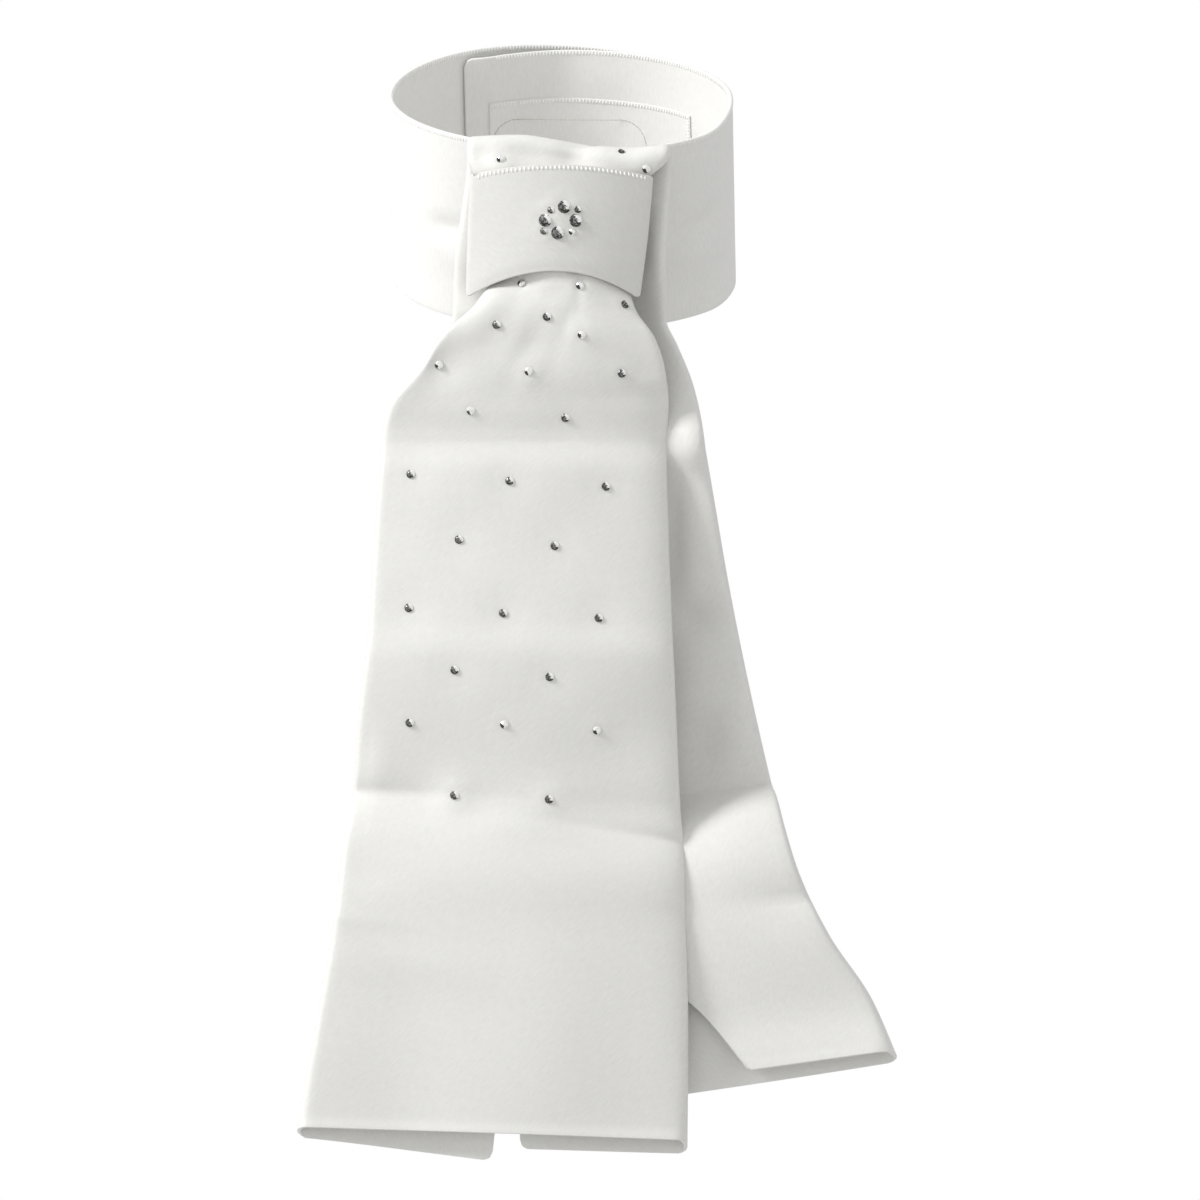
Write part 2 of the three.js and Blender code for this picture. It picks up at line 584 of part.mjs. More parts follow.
const ringStones = RING_STONES.flatMap(({ size, places }) => places.map((place) => [size, place]))
ringStones.forEach(([size, place], i) => addStone(`crystal_ring_${i + 1}`, size, wrap, place))
FOLD_STONES.forEach(([size, ...place], i) => addStone(`crystal_fold_${i + 1}`, size, strip, place))
const tailStones = TAIL_STONE_ROWS.flatMap(({ x, z }) => x.map((value, i) => [value, z[i]]))
tailStones.forEach((place, i) => addStone(`crystal_tail_${i + 1}`, 'tail', strip, place))

export default stockTie
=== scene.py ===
import math

import bmesh
import bpy
import numpy as np
from bpy.props import FloatProperty, FloatVectorProperty, PointerProperty
from mathutils import Matrix, Vector


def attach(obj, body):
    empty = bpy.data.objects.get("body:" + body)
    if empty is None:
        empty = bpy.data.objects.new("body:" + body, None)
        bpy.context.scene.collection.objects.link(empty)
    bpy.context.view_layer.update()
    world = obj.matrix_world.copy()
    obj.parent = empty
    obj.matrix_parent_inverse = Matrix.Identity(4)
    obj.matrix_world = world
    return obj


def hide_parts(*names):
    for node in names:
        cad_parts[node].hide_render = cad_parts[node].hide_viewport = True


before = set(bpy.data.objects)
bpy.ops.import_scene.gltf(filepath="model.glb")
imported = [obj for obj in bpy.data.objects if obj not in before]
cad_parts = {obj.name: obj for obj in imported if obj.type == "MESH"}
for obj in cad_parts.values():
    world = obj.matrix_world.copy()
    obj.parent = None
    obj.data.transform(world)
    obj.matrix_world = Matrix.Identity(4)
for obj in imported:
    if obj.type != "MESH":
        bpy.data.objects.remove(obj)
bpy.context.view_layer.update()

bl_info = {
    "name": "Stock tie",
    "version": (1, 0, 0),
    "blender": (4, 5, 0),
    "location": "3D View > Sidebar > Stock tie",
    "description": "Builds a ready-tied satin stock tie with a crystal ring and scattered stones",
    "category": "Add Mesh",
}

BODY = "root"
MM = 0.001
DEGREE = math.pi / 180

# The collar. Angles go round the neck in degrees, 0 at the front; all other sizes here are in mm.
COLLAR_HEIGHT = 66
COLLAR_TILT = 17.3 * DEGREE
COLLAR_LEAN = 1.4
COLLAR_LOW_DROP = 0.2
CUT_RADIUS = 58.5
DENT_RADIUS = 58
END_CORNER = 3
BAND_COLUMNS = ("angle", "radius", "drop")
BAND_ROWS = (
    (-213, 60.6, 1.8),
    (-190, 60.6, 0.4),
    (-150, 60.8, -1.0),
    (-90, 59.6, 0),
    (-45, 58.8, 0),
    (0, 58.9, 0.4),
    (32, 60.6, 2.4),
    (52, 61.0, 2.8),
    (75, 58.9, 1.0),
    (92, 57.8, 0),
    (140, 56.6, 0),
    (180, 56.2, 0.4),
    (206, 56.0, 1.0),
    (216, 59.3, 1.4),
)
FACING = {"from": 127.5, "to": 208.5, "low": -28, "high": 15.4, "inside": 1.0}
PATCH = {"from": 154, "to": 205, "low": -24, "high": 24, "radius": 58.55}
PATCH_SEAM = {"from": 149, "to": 208, "low": -22, "high": 8.5, "corner": 9, "corner_places": 12}

# Soft dents in the worn band: angle, height, half lengths along and across, turn and depth inward
BAND_DENTS = (
    (48, -1.5, 17, 4.5, 15, 2.5),
    (49, -10, 16, 5, 15, -1.5),
    (50, -24, 18, 6, 14, 2.0),
    (-42, -1, 9, 3.6, 6, 1.5),
    (-38, -11, 12, 5, -8, -0.7),
    (-70, -18, 16, 9, -20, 0.6),
    (168, 22, 12, 7, 10, 0.7),
    (196, 24, 9, 6, -20, 0.7),
    (182, 19, 7, 9, 80, -0.5),
    (120, 10, 14, 9, 40, 0.8),
    (-120, 4, 20, 10, 60, 0.8),
    (-165, -8, 22, 9, -12, 0.6),
)

# The folded strip, section by section from the front hem up over the collar and down to the rear hem
STRIP_COLUMNS = ("left_x", "left_z", "right_x", "right_z", "y", "crown", "roll", "left_flap", "right_flap")
FRONT_TAIL_ROWS = (
    (-88.9, -318.5, 41.8, -322.5, -117.5, 1.0, 1.7, 66, 56),
    (-82.5, -283.4, 42.1, -285.1, -113.4, 2.0, 1.6, 63, 55),
    (-76.4, -248.3, 41.3, -250.0, -109.4, 2.6, 1.6, 59, 53),
    (-73.1, -220.7, 40.6, -220.7, -104.4, 2.6, 1.6, 56, 51),
    (-70.2, -204.5, 39.4, -207.9, -100.6, 2.6, 1.6, 54, 50),
    (-68.2, -179.1, 38.1, -179.1, -100.0, 3.2, 1.6, 52, 48),
    (-66.0, -160.0, 37.3, -160.0, -99.0, 3.4, 1.6, 51, 47),
    (-64.8, -147.6, 36.7, -147.6, -96.0, 3.4, 1.6, 50, 46),
    (-62.8, -116.1, 35.5, -116.1, -91.0, 3.6, 1.6, 47, 44),
    (-61.4, -97.1, 35.0, -97.1, -88.4, 4.0, 1.6, 46, 43),
    (-60.5, -85.5, 35.1, -85.5, -85.6, 3.2, 1.6, 45, 42),
    (-57.8, -74.2, 35.6, -74.2, -87.2, 3.2, 1.6, 43, 40),
    (-47.3, -61.7, 34.2, -61.7, -87.8, 3.8, 1.7, 37, 35),
    (-40.6, -51.2, 30.8, -51.2, -87.4, 4.2, 1.7, 33, 31),
    (-29.4, -41.7, 24.4, -41.7, -84.8, 6.2, 1.7, 24, 22),
    (-25.0, -35.2, 22.3, -35.2, -82.4, 7.2, 1.7, 21, 18),
    (-21.5, -30.5, 20.3, -30.5, -81.8, 7.0, 1.7, 19, 16),
    (-23.9, -16.5, 22.6, -16.5, -81.2, 5.8, 1.7, 22, 20),
    (-25.0, -1, 22.8, -1, -81.0, 4.4, 1.7, 24, 22),
    (-29.6, 4.6, 27.9, 3.8, -80.1, 3.4, 1.7, 28, 27),
)
FOLD_RADIUS = 5.85
FOLD_RIGHT_RISE = 3
FOLD_FRONT = (-31.8, 10.6, 35.8, 11.0, -79.3, 1.2, 1.6, 30, 30)
FOLD_REAR = (-31.8, 10.6, 36.8, 11.0, -79.3 + 2 * FOLD_RADIUS, 0.4, 1.6, 31, 31)
REAR_TAIL_ROWS = (
    (-34.1, -10.5, 35.3, -10.5, -67.0, 0, 1.6, 32, 31),
    (-36.0, -22.1, 34.8, -22.1, -66.6, 0, 1.6, 33, 32),
    (-36.7, -42.2, 34.7, -44.9, -66.4, 0, 1.6, 33, 33),
    (-38.4, -55.8, 38.8, -55.2, -67.4, 0.5, 1.6, 35, 36),
    (-41.8, -72.9, 44.7, -71.5, -71.5, 1, 1.6, 40, 40),
    (-44.6, -92.0, 48.2, -90.0, -78.6, 1.2, 1.6, 43, 44),
    (-45.4, -110.0, 51.0, -106.0, -78.4, 1.5, 1.6, 45, 46),
    (-45.8, -140.9, 56.1, -135.5, -76.4, 1.5, 1.6, 47, 49),
    (-44.4, -181.6, 63.8, -173.6, -74.6, 1.5, 1.6, 50, 53),
    (-42.6, -213.7, 70.8, -203.9, -75.4, 1.5, 1.6, 52, 56),
    (-41.4, -229, 74.6, -218, -89.5, 1.5, 1.6, 53, 58),
    (-39.9, -243.5, 78.8, -230.9, -96.0, 1.5, 1.6, 54, 60),
    (-34.1, -267.7, 89.6, -253.4, -99.6, 1.5, 1.7, 52, 63),
    (-24.5, -291.2, 104.1, -274.9, -102.6, 1, 1.8, 50, 55.6),
    (-10.6, -314.5, 113.4, -295.8, -106.4, 1, 1.9, 50, 47.6),
)
FOLD_SECTIONS = 6
EDGE_ROUNDS = 3
FLAP_CROWN = 0.4
FACE_MIDDLE = 2.5
FACE_WINDOW = {"from": 1.6, "to": 3.4, "fade": 0.4}
FRONT_HEM_DROP = (8.0, 2.2, -1.4, -0.9, 3.4, 3.6)
REAR_HEM_DROP = (-4.0, -4.0, 0, 0, -4.0, -4.5)
HEM_REACH = 60
FRONT_CORNER = 3.3
REAR_CORNER = 1.0
HEM_SWELL = {"reach": 14, "front": 0.8, "rear": 0.8, "rear_right": 0.7}
HEM_LIP = {"reach": 2, "flare": 0.75}

# How far the strip's bent top sinks, by the place across it, and how far from the top this reaches
SAG_ROWS = ((-34, 0.0), (-14, -0.7), (-4, 0.5), (12, 2.7), (22, 3.4), (31, 2.0), (37, 1.0))
SAG_REACH = 16

# Soft dents of the strip: x, z, half lengths along and across, turn and depth away from the viewer
FRONT_DENTS = (
    (4.5, 12, 12, 6, 74, 2.0),
    (-10, 11, 24, 4, 0, 1.6),
    (20, 13, 18, 6, 0, -1.5),
    (-47, -51, 24, 10, 48, -4.5),
    (-26, -42, 10, 7, 40, -3.0),
    (-10, -52, 17, 4.5, 62, 0.9),
    (-5, -56, 15, 8, 62, 1.0),
    (24, -70, 16, 8, 10, 0.5),
    (40, -108, 24, 15, 90, -1.2),
    (-14, -150, 120, 30, 0, -0.7),
    (28, -186, 26, 15, 20, 1.3),
    (-44, -190, 26, 13, -10, 0.8),
    (-69, -196, 14, 5, 84, 1.8),
    (-12, -213, 22, 10, 20, -1.0),
    (-14, -233, 60, 13, 0, -1.8),
    (-68, -232, 12, 6, -12, 0.6),
    (-52, -262, 26, 8, -8, -0.8),
    (-54, -290, 60, 20, 92, 1.5),
    (-3, -285, 50, 22, 90, -1.6),
    (24, -330, 40, 30, 0, 2.0),
    (-62, -330, 30, 30, 0, 1.6),
)
REAR_DENTS = (
    (45, -88, 9, 8, 0, -4.8),
    (44, -64, 20, 12, 80, -3.5),
    (38, -115, 24, 5, 90, 3.0),
    (45, -146, 8, 7, 0, 2.6),
    (50, -190, 8, 18, -8, 2.0),
    (60, -186, 9, 9, 20, -2.4),
    (64, -216, 16, 12, 30, -1.2),
    (86, -262, 24, 14, -35, -0.8),
    (-31, -22, 20, 9, 88, -4.0),
    (36, -24, 20, 8, 90, -9.5),
    (60, -238, 40, 36, -45, -5.0),
    (78, -334, 60, 45, 8, 7.0),
    (-24, -44, 11, 7, 0, -6.5),
)

# Creases that start at an edge and fan out: x, z, turn, length, widths to left and right, spread, depth
FRONT_CREASES = (
    (-64, -85, 0, 160, 7, 45, 0, -1.1),
    (34.5, -70, -87.6, 400, 5, 5, 0, 3.2),
    (5, -25, -88, 24, 3.5, 4.5, 0.1, 1.7),
    (5, -49, -20, 26, 5, 4, 0.1, -0.9),
    (-71, -204.5, -2, 34, 4, 5, 0.16, 3.8),
    (41.5, -221, 172.5, 46, 6, 6, 0.12, 4.2),
    (-77, -247, -6, 30, 5, 3.5, 0.2, -1.0),
    (42, -246, 176, 16, 4, 4, 0.3, 0.6),
)
REAR_CREASES = (
    (64.5, -175.5, 181, 40, 7, 14, 0.1, -3.0),
    (71, -203, 186, 40, 4, 8, 0.2, 3.8),
    (85, -241, 184, 30, 4, 6, 0.2, 3.0),
)
CREASE_ROUNDING = 0.7
CREASE_START = 4

# The knot wrap, a loop round the front tail, from its lower to its upper edge
WRAP_COLUMNS = (*STRIP_COLUMNS[:7], "back")
WRAP_ROWS = (
    (-32.2, -37.2, 25.9, -37.6, -83.2, 8.0, 1.7, 7.6),
    (-31.6, -16, 28.6, -16.4, -82.6, 6.8, 1.7, 7.0),
    (-30.7, 4.4, 30.4, 3.6, -82.0, 5.6, 1.7, 6.4),
)
WRAP_ARCH = {"low": 8.5, "high": 3.2, "back_low": 5, "back_high": -4}
WRAP_BACK_RISE = 0.2
WRAP_WIDTH = 60
WRAP_CORNER = {"radius": 5, "start": 1, "share": 0.6}
WRAP_LIP = {"reach": 2.5, "flare": -0.5, "fade": 0.1}

# Stitches: distances in mm, angles in degrees, and shares of a stitch's length, the thread or the wrap
SEAM_PITCH = 1.6
SEAM_THREAD_SHARE = 0.6
WHIP_PITCH = 1.45
WHIP_LEAN = 0.3
BAND_SEWN = {"angle": 205, "below_top": 0.2, "share": 1, "places": 240}
FACING_SEWN = {"proud": 0.05, "short_of_ends": 1}
FACING_TOP_SEWN = {"below": 0.3, "share": 0.9, "places": 120}
FACING_SIDE_SEWN = {"beside": 0.6, "share": 0.7, "places": 60}
WRAP_SEWN = {"from": 0.02, "to": 0.98, "up": 0.985, "step": 0.03, "places": 160}

# How finely each surface is divided: distances along the strip in mm, and numbers of steps
FRONT_PITCH = 1.5
REAR_PITCH = 2.8
FACE_STEPS = 66
ROLL_STEPS = 6
FLAP_PLACES = (0, 0.012, 0.025, 0.045, 0.075, 0.12)
FLAP_STEPS = 16
BAND_STEPS = (330, 34)
FACING_STEPS = (64, 34)
PATCH_STEPS = (40, 24)
WRAP_STEPS = (64, 8, 34, 48)
LOOP_JOIN = 0.01
EDGE_ROUNDING = 0.42
EDGE_ANGLE = 62 * DEGREE

# How the cloth is brought to the stones, in mm, up to a distance past the fold's top. The pucker's ring
# and width are in a stone's half widths.
STONE_REST = 0.08
SEAT_ROUNDS = 3
SEAT_REACH = 7.0
SEAT_DEPTH = 6
PAST_FOLD = 4
WRAP_SEAT_FADE = 0.15
PUCKER = {"rise": 0.12, "ring": 2.1, "width": 0.9, "depth": 4}

# The stones' cut: each ring's radius and height, its corners for each facet and its turn in half facets,
# the turn from stone to stone as a share of a facet, and how upright the table's normal has to be.
# Facet colours are painted reflections and painted highlights, with tones from 0, dark, to 1, bright: facets
# towards the light get a painted highlight, and the stones painted lit get painted shade on the side away
# from it.
FACETS = 8
STONE_RINGS = ((0.90, 0.0, 2, 0), (1.0, 0.18, 2, 0), (0.80, 0.74, 1, 1), (0.52, 1.0, 1, 0))
STONE_TURN = 0.618
TABLE_UP = 0.99
PAINTED_LIGHT_ATTRIBUTE = "painted_facet_light"
GIRDLE = {"below": 0.3, "beyond": 0.9, "tone": 0.6}
MIDDLE_RADIUS = 0.3
TABLE_RADIUS = 0.5
TABLE_PAINTED_REFLECTIONS = (0.08, 0.3, 0.14, 0.4, 0.06)
FACET_PAINTED_REFLECTIONS = (0.03, 0.14, 0.01, 0.24, 0.05)
PAINTED_HIGHLIGHT = {"from": 0.4, "tone": 1.0}
PAINTED_LIT_TONES = {"shade_from": -0.7, "shade": 0.04, "tone": 0.92}
STONE_LIGHT = Vector((0.83, 0.56))
PAINTED_LIT_NUMBERS = {"fold": (1, 2), "ring": (8,), "tail": (1, 2, 5, 7, 8, 10, 23, 24)}
PAINTED_LIT_STONES = [f"crystal_{group}_{i}" for group, numbers in PAINTED_LIT_NUMBERS.items() for i in numbers]

# Cloth's finish, and the painted shade that darkens the wrap's satin
WEAVE = "weave"
WEAVE_THREAD = 0.42 * MM
THREAD_TWIST = 0.4 * MM
SATIN_TURN = -42 * DEGREE
WRAP_TURN = 48 * DEGREE
WRAP_PAINTED_SHADE = 0.92

# Camera and studio, in metres, with the sensor in mm
KEY_PLACE = Vector((-3.0, -1.2, 2.4))
KEY_AIM = Vector((0.01, -0.07, -0.13))
KEY_SIZE = 1.3
CAMERA_DISTANCE = 4.0
CAMERA_RISE = 2 * DEGREE
CAMERA_TARGET = Vector((0.01282, 0, -0.14339))
VIEW_WIDTH = 0.4164
SENSOR_WIDTH = 36
FLOOR_HEIGHT = -0.75
FLOOR_RADIUS = 3.0
BACKDROP_RADIUS = 9.0


# Curves and surfaces


def through_rows(stations, values):
    """A curve that stays between a table column's values and goes on straight past both ends."""
    stations, values = np.asarray(stations, float), np.asarray(values, float)
    spans = np.diff(stations)
    slopes = np.diff(values) / spans
    before, after = np.concatenate((slopes[:1], slopes)), np.concatenate((slopes, slopes[-1:]))
    product, total = before * after, before + after
    bends = np.where(product > 0, 2 * product / np.where(product > 0, total, 1), 0)

    def curve(at):
        at = np.asarray(at, float)
        i = np.clip(np.searchsorted(stations, at, side="right") - 1, 0, len(spans) - 1)
        t = np.clip((at - stations[i]) / spans[i], 0, 1)
        rise = bends[i] * spans[i] * t * (1 - t) ** 2
        fall = bends[i + 1] * spans[i] * t * t * (1 - t)
        inside = values[i] + (values[i + 1] - values[i]) * t * t * (3 - 2 * t) + rise - fall
        low = slopes[0] * np.minimum(at - stations[0], 0)
        high = slopes[-1] * np.maximum(at - stations[-1], 0)
        return inside + low + high

    return curve


def read_table(columns, rows, stations):
    """A function that gives every column's value at a station."""
    curves = {name: through_rows(stations, [row[c] for row in rows]) for c, name in enumerate(columns)}
    return lambda at: {name: curve(at) for name, curve in curves.items()}


def stations_of(rows):
    """Distances along a strip's middle line, one for each of its section rows."""
    middles = np.array([((row[0] + row[2]) / 2, row[4], (row[1] + row[3]) / 2) for row in rows])
    return np.concatenate(((0,), np.cumsum(np.linalg.norm(np.diff(middles, axis=0), axis=1))))


def unit(vectors):
    return vectors / np.linalg.norm(vectors, axis=-1, keepdims=True)


def frame_of(table, at):
    """A section's row, middle, direction across and direction inward, from the face to the flaps."""
    row = table(at)
    step = 0.5

    def middle(s):
        return np.stack(((s["left_x"] + s["right_x"]) / 2, s["y"], (s["left_z"] + s["right_z"]) / 2), axis=-1)

    width = np.stack((row["right_x"] - row["left_x"], 0 * row["y"], row["right_z"] - row["left_z"]), axis=-1)
    along = middle(table(at + step)) - middle(table(at - step))
    across = unit(width)
    inward = unit(np.cross(along, across))
    half = np.linalg.norm(width, axis=-1) / 2
    return {**row, "half": half, "middle": middle(row), "across": across, "inward": inward}


def folded_edge(section):
    """Half the crowned face's width, and its folded edges' arcs: their sideways place, depth and sweep."""
    half, roll, crown = section["half"], section["roll"], section["crown"]
    slope = np.arctan(2 * crown / (half - roll))
    for _ in range(EDGE_ROUNDS):
        flat = half - roll * (1 - np.sin(slope))
        slope = np.arctan(2 * crown / flat)
    return flat, flat - roll * np.sin(slope), roll * np.cos(slope), math.pi - slope


def crown_at(side, flat, crown):
    return crown * np.maximum(0, 1 - (side / flat) ** 2)


def faded(distance, reach):
    """1 at a place, and fading away within about a reach of it."""
    return np.exp(-((distance / reach) ** 2))


def from_place(x, z, place, turn):
    """Distances from a place, along and across a turned direction."""
    sin, cos = math.sin(turn * DEGREE), math.cos(turn * DEGREE)
    dx, dz = x - place[0], z - place[1]
    return dx * cos + dz * sin, dz * cos - dx * sin


def dents_at(rows, x, z):
    """How far the rows' dents press into the cloth at each place."""
    depth = np.zeros(np.broadcast(x, z).shape)
    for *place, long, across, turn, deep in rows:
        along, aside = from_place(x, z, place, turn)
        depth += deep * np.exp(-((along / long) ** 2) - (aside / across) ** 2)
    return depth


def creases_at(rows, x, z):
    """How far the rows' creases press into the cloth: each is sharp at its start and fans out."""
    depth = np.zeros(np.broadcast(x, z).shape)
    for *place, turn, long, left, right, spread, deep in rows:
        along, aside = from_place(x, z, place, turn)
        width = np.where(aside > 0, left, right) + spread * np.maximum(along, 0)
        away = np.sqrt(aside ** 2 + CREASE_ROUNDING ** 2) - CREASE_ROUNDING
        fade = faded(along, long) * np.clip(1 + along / CREASE_START, 0, 1)
        depth += deep * fade * np.exp(-away / width)
    return depth


def section_place(q, section):
    """The place in the folded section. q is 0 at the left flap's free edge, 1 and 2 at the ends of the
    left folded edge, 3 and 4 of the right one, and 5 at the right flap's free edge."""
    half, roll, crown = section["half"], section["roll"], section["crown"]
    flat, root, bend, sweep = folded_edge(section)
    left_turn = math.pi / 2 + (q - 1) * sweep
    right_turn = math.pi / 2 - (4 - q) * sweep
    left_flap = (section["left_flap"] - half) * (1 - q) - root * q
    right_flap = root * (5 - q) + (half - section["right_flap"]) * (q - 4)
    flap_crown = crown_at(np.where(q < 1, left_flap, right_flap), flat, FLAP_CROWN * crown)
    flap_depth = roll + bend - flap_crown
    face = flat * (2 * q - 5)
    conditions = (q < 1, q < 2, q <= 3, q <= 4)
    sides = (left_flap, roll * np.cos(left_turn) - root, face, root + roll * np.cos(right_turn))
    depths = (
        flap_depth,
        bend + roll * np.sin(left_turn),
        -crown_at(face, flat, crown),
        bend + roll * np.sin(right_turn),
    )
    return np.select(conditions, sides, right_flap), np.select(conditions, depths, flap_depth)


def fold_rows():
    """The sections of the bend over the collar's top edge."""
    rows = []
    for turn in np.linspace(0, math.pi, FOLD_SECTIONS + 1):
        row = [a + (b - a) * turn / math.pi for a, b in zip(FOLD_FRONT, FOLD_REAR)]
        row[1] += FOLD_RADIUS * math.sin(turn)
        row[3] += FOLD_RIGHT_RISE * math.sin(turn)
        row[4] = FOLD_FRONT[4] + FOLD_RADIUS * (1 - math.cos(turn))
        rows.append(tuple(row))
    return rows


STRIP_ROWS = (*FRONT_TAIL_ROWS, *fold_rows(), *REAR_TAIL_ROWS)
STRIP_STATIONS = stations_of(STRIP_ROWS)
STRIP = read_table(STRIP_COLUMNS, STRIP_ROWS, STRIP_STATIONS)
STRIP_LENGTH = STRIP_STATIONS[-1]
FOLD_TOP = STRIP_STATIONS[len(FRONT_TAIL_ROWS) + FOLD_SECTIONS // 2]
FOLD_END = STRIP_STATIONS[len(FRONT_TAIL_ROWS) + FOLD_SECTIONS]
FRONT_HEM = through_rows(range(6), FRONT_HEM_DROP)
REAR_HEM = through_rows(range(6), REAR_HEM_DROP)
WRAP_STATIONS = stations_of(WRAP_ROWS)
WRAP = read_table(WRAP_COLUMNS, WRAP_ROWS, WRAP_STATIONS)
WRAP_HEIGHT = WRAP_STATIONS[-1]
BAND = read_table(BAND_COLUMNS, BAND_ROWS, [row[0] for row in BAND_ROWS])
SAG = through_rows(*zip(*SAG_ROWS))


def corner_lift(distance, radius):
    """How much a rounded corner takes off, by the distance from the edge beside it."""
    short = radius - np.clip(distance, 0, radius)
    return radius - np.sqrt(radius ** 2 - short ** 2)


def on_face(q):
    """1 on the middle of the strip's outer face, fading out before its folded edges."""
    inside = np.minimum(q - FACE_WINDOW["from"], FACE_WINDOW["to"] - q)
    return np.clip(inside / FACE_WINDOW["fade"], 0, 1)


def strip_points(q, at):
    """Places on the strip's middle surface, in mm."""
    from_rear = STRIP_LENGTH - at
    near_front = np.maximum(0, 1 - at / HEM_REACH)
    near_rear = np.maximum(0, 1 - from_rear / HEM_REACH)
    row = STRIP(at)
    to_free_edge = np.where(q < 1, q * row["left_flap"], (5 - q) * row["right_flap"])
    on_flap = (q < 1) | (q > 4)
    front_hem = FRONT_HEM(q) - corner_lift(to_free_edge, FRONT_CORNER) * on_flap
    rear_hem = REAR_HEM(q) - corner_lift(to_free_edge, REAR_CORNER) * on_flap
    hem = front_hem * near_front + rear_hem * near_rear
    station = at + np.where(at < FOLD_TOP, -hem, hem)
    section = frame_of(STRIP, station)
    rear_swell = HEM_SWELL["rear"] + HEM_SWELL["rear_right"] * (q > FACE_MIDDLE)
    section["roll"] = section["roll"] + faded(at, HEM_SWELL["reach"]) * HEM_SWELL["front"]
    section["roll"] += faded(from_rear, HEM_SWELL["reach"]) * rear_swell
    side, depth = section_place(q, section)
    lip = faded(at, HEM_LIP["reach"]) * on_face(q)
    rear_lip = faded(from_rear, HEM_LIP["reach"]) * on_flap
    depth = depth + (rear_lip - lip) * HEM_LIP["flare"]
    flat = section["middle"] + side[..., None] * section["across"]
    x, z = flat[..., 0], flat[..., 2]
    dents = np.where(
        station < FOLD_TOP,
        dents_at(FRONT_DENTS, x, z) + creases_at(FRONT_CREASES, x, z),
        -dents_at(REAR_DENTS, x, z) - creases_at(REAR_CREASES, x, z),
    )
    points = flat + (depth + dents)[..., None] * section["inward"]
    points[..., 2] -= SAG(x) * faded(at - FOLD_TOP, SAG_REACH)
    return points


def on_collar(angle, radius, height):
    """A place round the neck, in mm."""
    angle = angle * DEGREE
    sideways = radius * np.sin(angle) + COLLAR_LEAN * (0.5 - height / COLLAR_HEIGHT)
    back = -radius * np.cos(angle)
    sin, cos = math.sin(COLLAR_TILT), math.cos(COLLAR_TILT)
    return np.stack((sideways, back * cos - height * sin, back * sin + height * cos), axis=-1)


def band_radius(angle, height):
    """The band's radius with its soft dents, which the pieces on its wall follow too."""
    dents = [(degrees * DEGREE * DENT_RADIUS, *rest) for degrees, *rest in BAND_DENTS]
    return BAND(angle)["radius"] - dents_at(dents, angle * DEGREE * DENT_RADIUS, height)


def wrap_edges(q):
    """The wrap's lower and upper edge at each place round it, as stations."""
    arch = 1 - (2 * q - 1) ** 2
    toward_back = 1 - np.cos(np.clip(np.minimum(q - 1, 4 - q), 0, 1) * math.pi / 2)
    low = np.where(q <= 1, WRAP_ARCH["low"] * arch, WRAP_ARCH["back_low"] * toward_back)
    high = np.where(q <= 1, WRAP_ARCH["high"] * arch, WRAP_ARCH["back_high"] * toward_back)
    to_left_edge = np.where(q <= 1, q, 4 - q) * WRAP_WIDTH + WRAP_CORNER["start"]
    lift = WRAP_CORNER["share"] * corner_lift(to_left_edge, WRAP_CORNER["radius"])
    high = high - lift * ((q <= 1) | (q > 3))
    return low, WRAP_HEIGHT + high


def wrap_points(q, share):
    """Places on the wrap's middle surface: q is 0 to 1 on the front panel, 1 to 2 and 3 to 4 on its sides."""
    low, high = wrap_edges(q)
    section = frame_of(WRAP, low + (high - low) * share)
    roll = section["roll"]
    flat, root, bend, sweep = folded_edge(section)
    front = flat * (2 * q - 1)
    right, left = math.pi / 2 - (2 - q) * sweep, math.pi / 2 + (q - 3) * sweep
    on_panel = np.clip(np.minimum(q, 1 - q) / WRAP_LIP["fade"], 0, 1)
    lip = faded((high - low) * share, WRAP_LIP["reach"]) * WRAP_LIP["flare"] * on_panel
    rise = np.clip((1 - np.abs(5 - 2 * q)) / WRAP_BACK_RISE, 0, 1)
    conditions = (q <= 1, q <= 2, q < 3)
    sides = (front, root + roll * np.cos(right), root * (5 - 2 * q))
    depths = (
        -crown_at(front, flat, section["crown"]) - lip,
        bend + roll * np.sin(right),
        roll + bend + section["back"] * rise * rise * (3 - 2 * rise),
    )
    side = np.select(conditions, sides, roll * np.cos(left) - root)
    depth = np.select(conditions, depths, bend + roll * np.sin(left))
    return section["middle"] + side[..., None] * section["across"] + depth[..., None] * section["inward"]


# Stones' seats


class Seat:
    """Where a stone lies, from its node in the frame: its back's middle, facing, height and half width."""

    def __init__(self, node):
        corners = np.array([vert.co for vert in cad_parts[node].data.vertices]) / MM
        corners = np.unique(corners.round(4), axis=0)
        middle = corners.mean(axis=0)
        _, _, axes = np.linalg.svd(corners - middle)
        self.facing = axes[2] if axes[2][1] < 0 else -axes[2]
        along = (corners - middle) @ self.facing
        self.base = middle + along.min() * self.facing
        self.height = np.ptp(along)
        spread = corners - self.base
        self.half = np.linalg.norm(spread - np.outer(spread @ self.facing, self.facing), axis=1).max()

    def around(self, points):
        """How far places stand out from the stone's back, and how far they are from its middle line."""
        offset = points - self.base
        rise = offset @ self.facing
        return rise, np.linalg.norm(offset - rise[..., None] * self.facing, axis=-1)

    def placing(self):
        """The matrix that lays a stone, cut upright at the origin, on its seat with its upper side up."""
        up = np.array((0, 0, 1)) - self.facing[2] * self.facing
        up = up / np.linalg.norm(up)
        right = np.cross(up, self.facing)
        place = Matrix(np.stack((right, up, self.facing), axis=1)).to_4x4()
        place.translation = Vector(self.base) * MM
        return place


STONE_NODES = sorted(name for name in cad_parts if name.startswith("crystal_"))
SEATS = {name: Seat(name) for name in STONE_NODES}
RING_SEATS = [SEATS[name] for name in STONE_NODES if "ring" in name]
STRIP_SEATS = [SEATS[name] for name in STONE_NODES if "ring" not in name]


